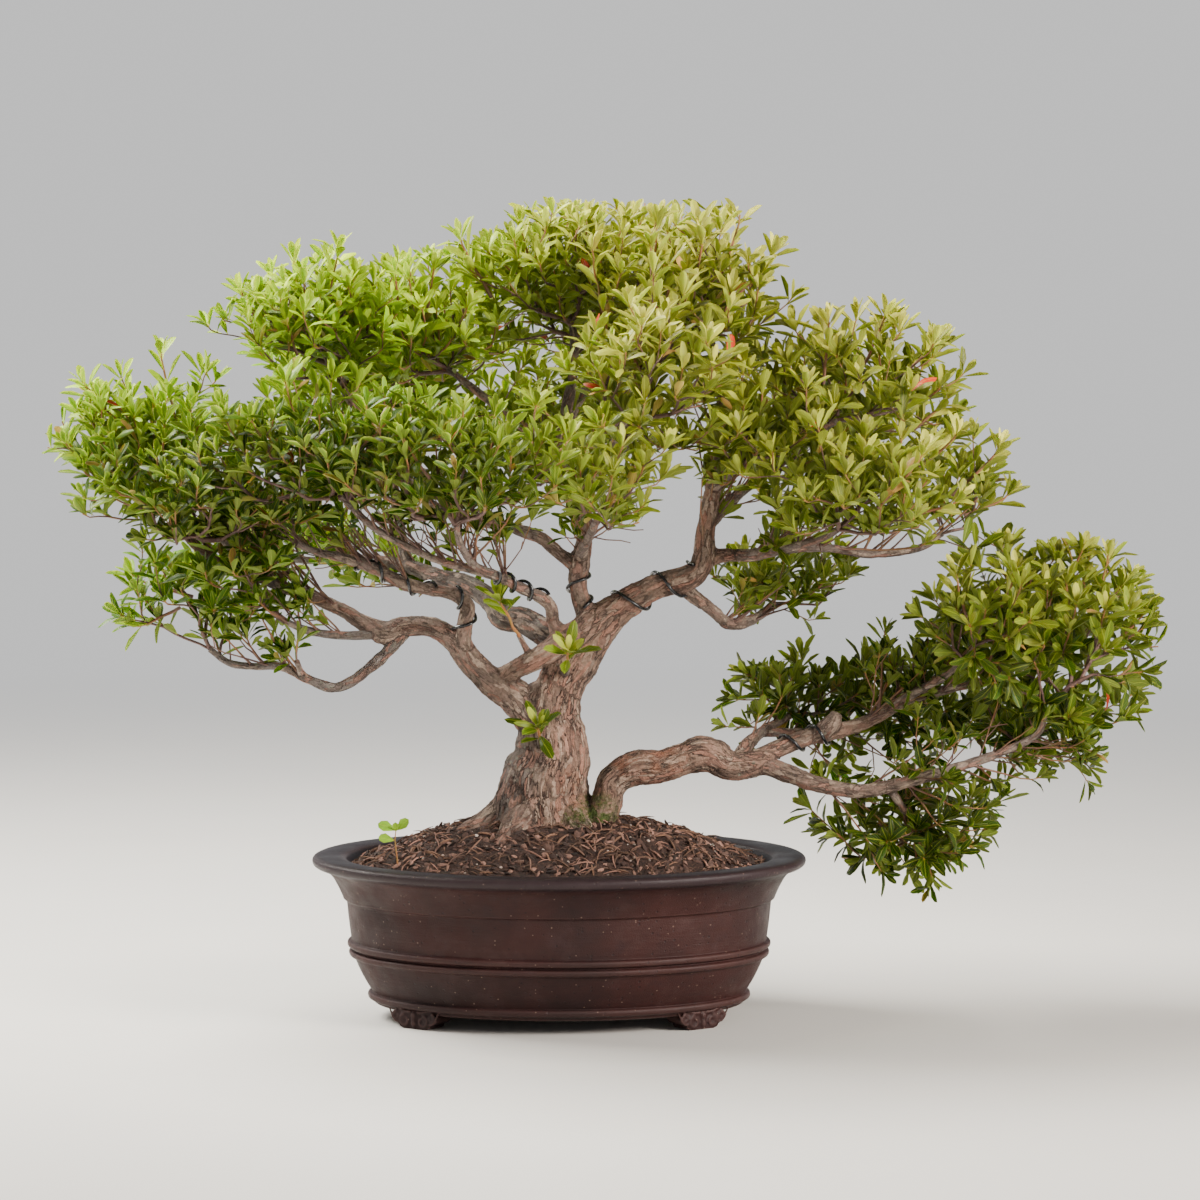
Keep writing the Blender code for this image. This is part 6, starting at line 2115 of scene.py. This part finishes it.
def build_seedling(workshop):
    """The seedling in the mulch at the left: a thin orange stem and a few small leaves."""
    rng = random.Random(f"{SEED} seedling")
    foot = place(SEEDLING_FOOT)
    foot.z = mulch_level(foot.x, foot.y) - 2 * MM
    points = [foot + Vector((dx, 0.0, dz)) * MM for dx, dz in ((0, 0), (-1, 9), (-2, 18), (-3, 27), (-2, 35))]
    foliage = Foliage(6)
    foliage.add_twig(points, (0.9 * MM, 0.5 * MM), (1.0, 1.0))
    for back, angle, rise, long in ((0, 0.3, 40, 16), (0, 2.9, 25, 17), (1, 1.6, 65, 11), (9, 3.3, 10, 15)):
        direction = Vector((math.cos(angle) * math.cos(math.radians(rise)),
                            -0.5 * math.sin(angle), math.sin(math.radians(rise)))).normalized()
        normal = (UP * 0.5 - Vector((0.0, 1.0, 0.0)) - direction * direction.z).normalized()
        foliage.add_leaf(spot_on(points, back * MM), direction, normal, long * MM, long * 0.62 * MM,
                         rng.choice((0, 1)), paint(136, 186, 48))
    workshop.make("seedling", foliage)


# Stage
def build_stage():
    """The camera at the photograph's angle, a plain pale floor, soft lights and pale surroundings."""
    stage = settings().stage
    camera = added("camera", bpy.data.cameras.new("camera"))
    camera.data.lens = stage.lens
    camera.data.clip_end = 50.0
    camera.location = CAMERA_AIM + CAMERA_AWAY
    camera.rotation_euler = (-CAMERA_AWAY).to_track_quat("-Z", "Y").to_euler()
    bpy.context.scene.camera = camera
    wide = FLOOR_HALF_WIDTH
    corners = [(-wide, -wide, 0.0), (wide, -wide, 0.0), (wide, wide, 0.0), (-wide, wide, 0.0)]
    floor = mesh_object("floor", corners, [(0, 1, 2, 3)])
    floor.data.materials.append(floor_material())
    lamp("key", (-1.5, 0.5, 2.1), 1.5, stage.key, (1.0, 0.97, 0.90))
    lamp("fill", (2.1, -1.5, 1.3), 1.1, stage.fill, (1.0, 0.93, 0.85))
    surroundings()


def floor_material():
    """The floor: pale, and plain light far off, so that it has no edge against the surroundings."""
    stage = settings().stage
    material, tree, shader = new_material("floor", 0.8)
    black = (0.0, 0.0, 0.0, 1.0)
    position = object_position(tree)
    cloudy = ranged(tree, noise_at(tree, position, 3.0), 0.3, 0.7)
    near = blend(tree, cloudy, stage.floor[:], paint(208, 205, 200))
    distance = put(tree, "ShaderNodeVectorMath", {0: position}, operation="LENGTH").outputs["Value"]
    far = ranged(tree, distance, 0.6, 3.2)
    tree.links.new(blend(tree, far, near, black), shader.inputs["Base Color"])
    tree.links.new(blend(tree, far, black, stage.horizon[:]), shader.inputs["Emission Color"])
    shader.inputs["Emission Strength"].default_value = 1.0
    shader.inputs["Specular IOR Level"].default_value = 0.0
    return material


def surroundings():
    """Pale surroundings low down, with a dimmer sky overhead."""
    stage = settings().stage
    world = bpy.data.worlds.new("studio")
    world.use_nodes = True
    tree = world.node_tree
    direction = put(tree, "ShaderNodeTexCoord").outputs["Generated"]
    height = put(tree, "ShaderNodeSeparateXYZ", {"Vector": direction})
    rise = ranged(tree, height.outputs["Z"], 0.12, 0.45)
    overhead = (stage.sky, stage.sky, stage.sky, 1.0)
    lit = blend(tree, rise, stage.horizon[:], overhead)
    tree.links.new(lit, tree.nodes["Background"].inputs["Color"])
    bpy.context.scene.world = world


def lamp(name, spot, size, power, tint):
    """A square soft light that faces the plant."""
    light = bpy.data.lights.new(name, "AREA")
    light.shape = "SQUARE"
    light.size = size
    light.energy = power
    light.color = tint
    thing = added(name, light)
    thing.location = spot
    thing.rotation_euler = (CAMERA_AIM - Vector(spot)).to_track_quat("-Z", "Y").to_euler()


# Operators
class BONSAI_OT_shader_groups(bpy.types.Operator):
    """Make the shader groups that the materials share"""
    bl_idname = "bonsai.shader_groups"
    bl_label = "Shader groups"

    def execute(self, context):
        mottle_group()
        specks_group()
        return {"FINISHED"}


class BONSAI_OT_pot(bpy.types.Operator):
    """Build the oval pot with its carved feet"""
    bl_idname = "bonsai.pot"
    bl_label = "Pot"

    def execute(self, context):
        build_pot()
        return {"FINISHED"}


class BONSAI_OT_filling(bpy.types.Operator):
    """Finish the soil and the drain screens"""
    bl_idname = "bonsai.filling"
    bl_label = "Soil and drain screens"

    def execute(self, context):
        dress_filling()
        return {"FINISHED"}


class BONSAI_OT_mulch(bpy.types.Operator):
    """Lay the mulch with its fibres, chips and grit"""
    bl_idname = "bonsai.mulch"
    bl_label = "Mulch"

    def execute(self, context):
        build_mulch()
        return {"FINISHED"}


class BONSAI_OT_wood(bpy.types.Operator):
    """Grow the roots, the trunk and the limbs, and the moss at their foot"""
    bl_idname = "bonsai.wood"
    bl_label = "Wood and moss"

    def execute(self, context):
        build_moss(build_wood())
        return {"FINISHED"}


class BONSAI_OT_wires(bpy.types.Operator):
    """Wind the training wires"""
    bl_idname = "bonsai.wires"
    bl_label = "Training wires"

    def execute(self, context):
        build_wires()
        return {"FINISHED"}


class BONSAI_OT_foliage(bpy.types.Operator):
    """Grow the twigs and leaves of the sprays, the trunk's shoots and the seedling"""
    bl_idname = "bonsai.foliage"
    bl_label = "Twigs and leaves"

    def execute(self, context):
        build_foliage()
        return {"FINISHED"}


class BONSAI_OT_stage(bpy.types.Operator):
    """Set up the camera, the floor and the lights"""
    bl_idname = "bonsai.stage"
    bl_label = "Stage"

    def execute(self, context):
        build_stage()
        return {"FINISHED"}


OPERATORS = (
    BONSAI_OT_shader_groups, BONSAI_OT_stage, BONSAI_OT_pot, BONSAI_OT_filling, BONSAI_OT_mulch,
    BONSAI_OT_wood, BONSAI_OT_wires, BONSAI_OT_foliage,
)


class BONSAI_PT_panel(bpy.types.Panel):
    """The bonsai's operators and settings"""
    bl_idname = "BONSAI_PT_panel"
    bl_label = "Azalea bonsai"
    bl_space_type = "VIEW_3D"
    bl_region_type = "UI"
    bl_category = "Bonsai"

    def draw(self, context):
        for operator in OPERATORS:
            self.layout.operator(operator.bl_idname)
        for group in ("pot", "mulch", "wood", "leaf", "stage"):
            column = self.layout.box()
            column.label(text=group.capitalize())
            values = getattr(context.scene.bonsai, group)
            for key in values.bl_rna.properties.keys()[2:]:
                column.prop(values, key)


CLASSES = (PotSettings, MulchSettings, WoodSettings, LeafSettings, StageSettings, BonsaiSettings, *OPERATORS,
           BONSAI_PT_panel)


def register():
    """Register the classes and the settings."""
    for listed in CLASSES:
        bpy.utils.register_class(listed)
    bpy.types.Scene.bonsai = bpy.props.PointerProperty(type=BonsaiSettings)


def unregister():
    """Take the settings and the classes away again."""
    del bpy.types.Scene.bonsai
    for listed in reversed(CLASSES):
        bpy.utils.unregister_class(listed)


def main():
    """Register the classes and the settings, and build everything in order."""
    register()
    for operator in OPERATORS:
        group, name = operator.bl_idname.split(".")
        getattr(getattr(bpy.ops, group), name)()


if __name__ == "__main__":
    main()
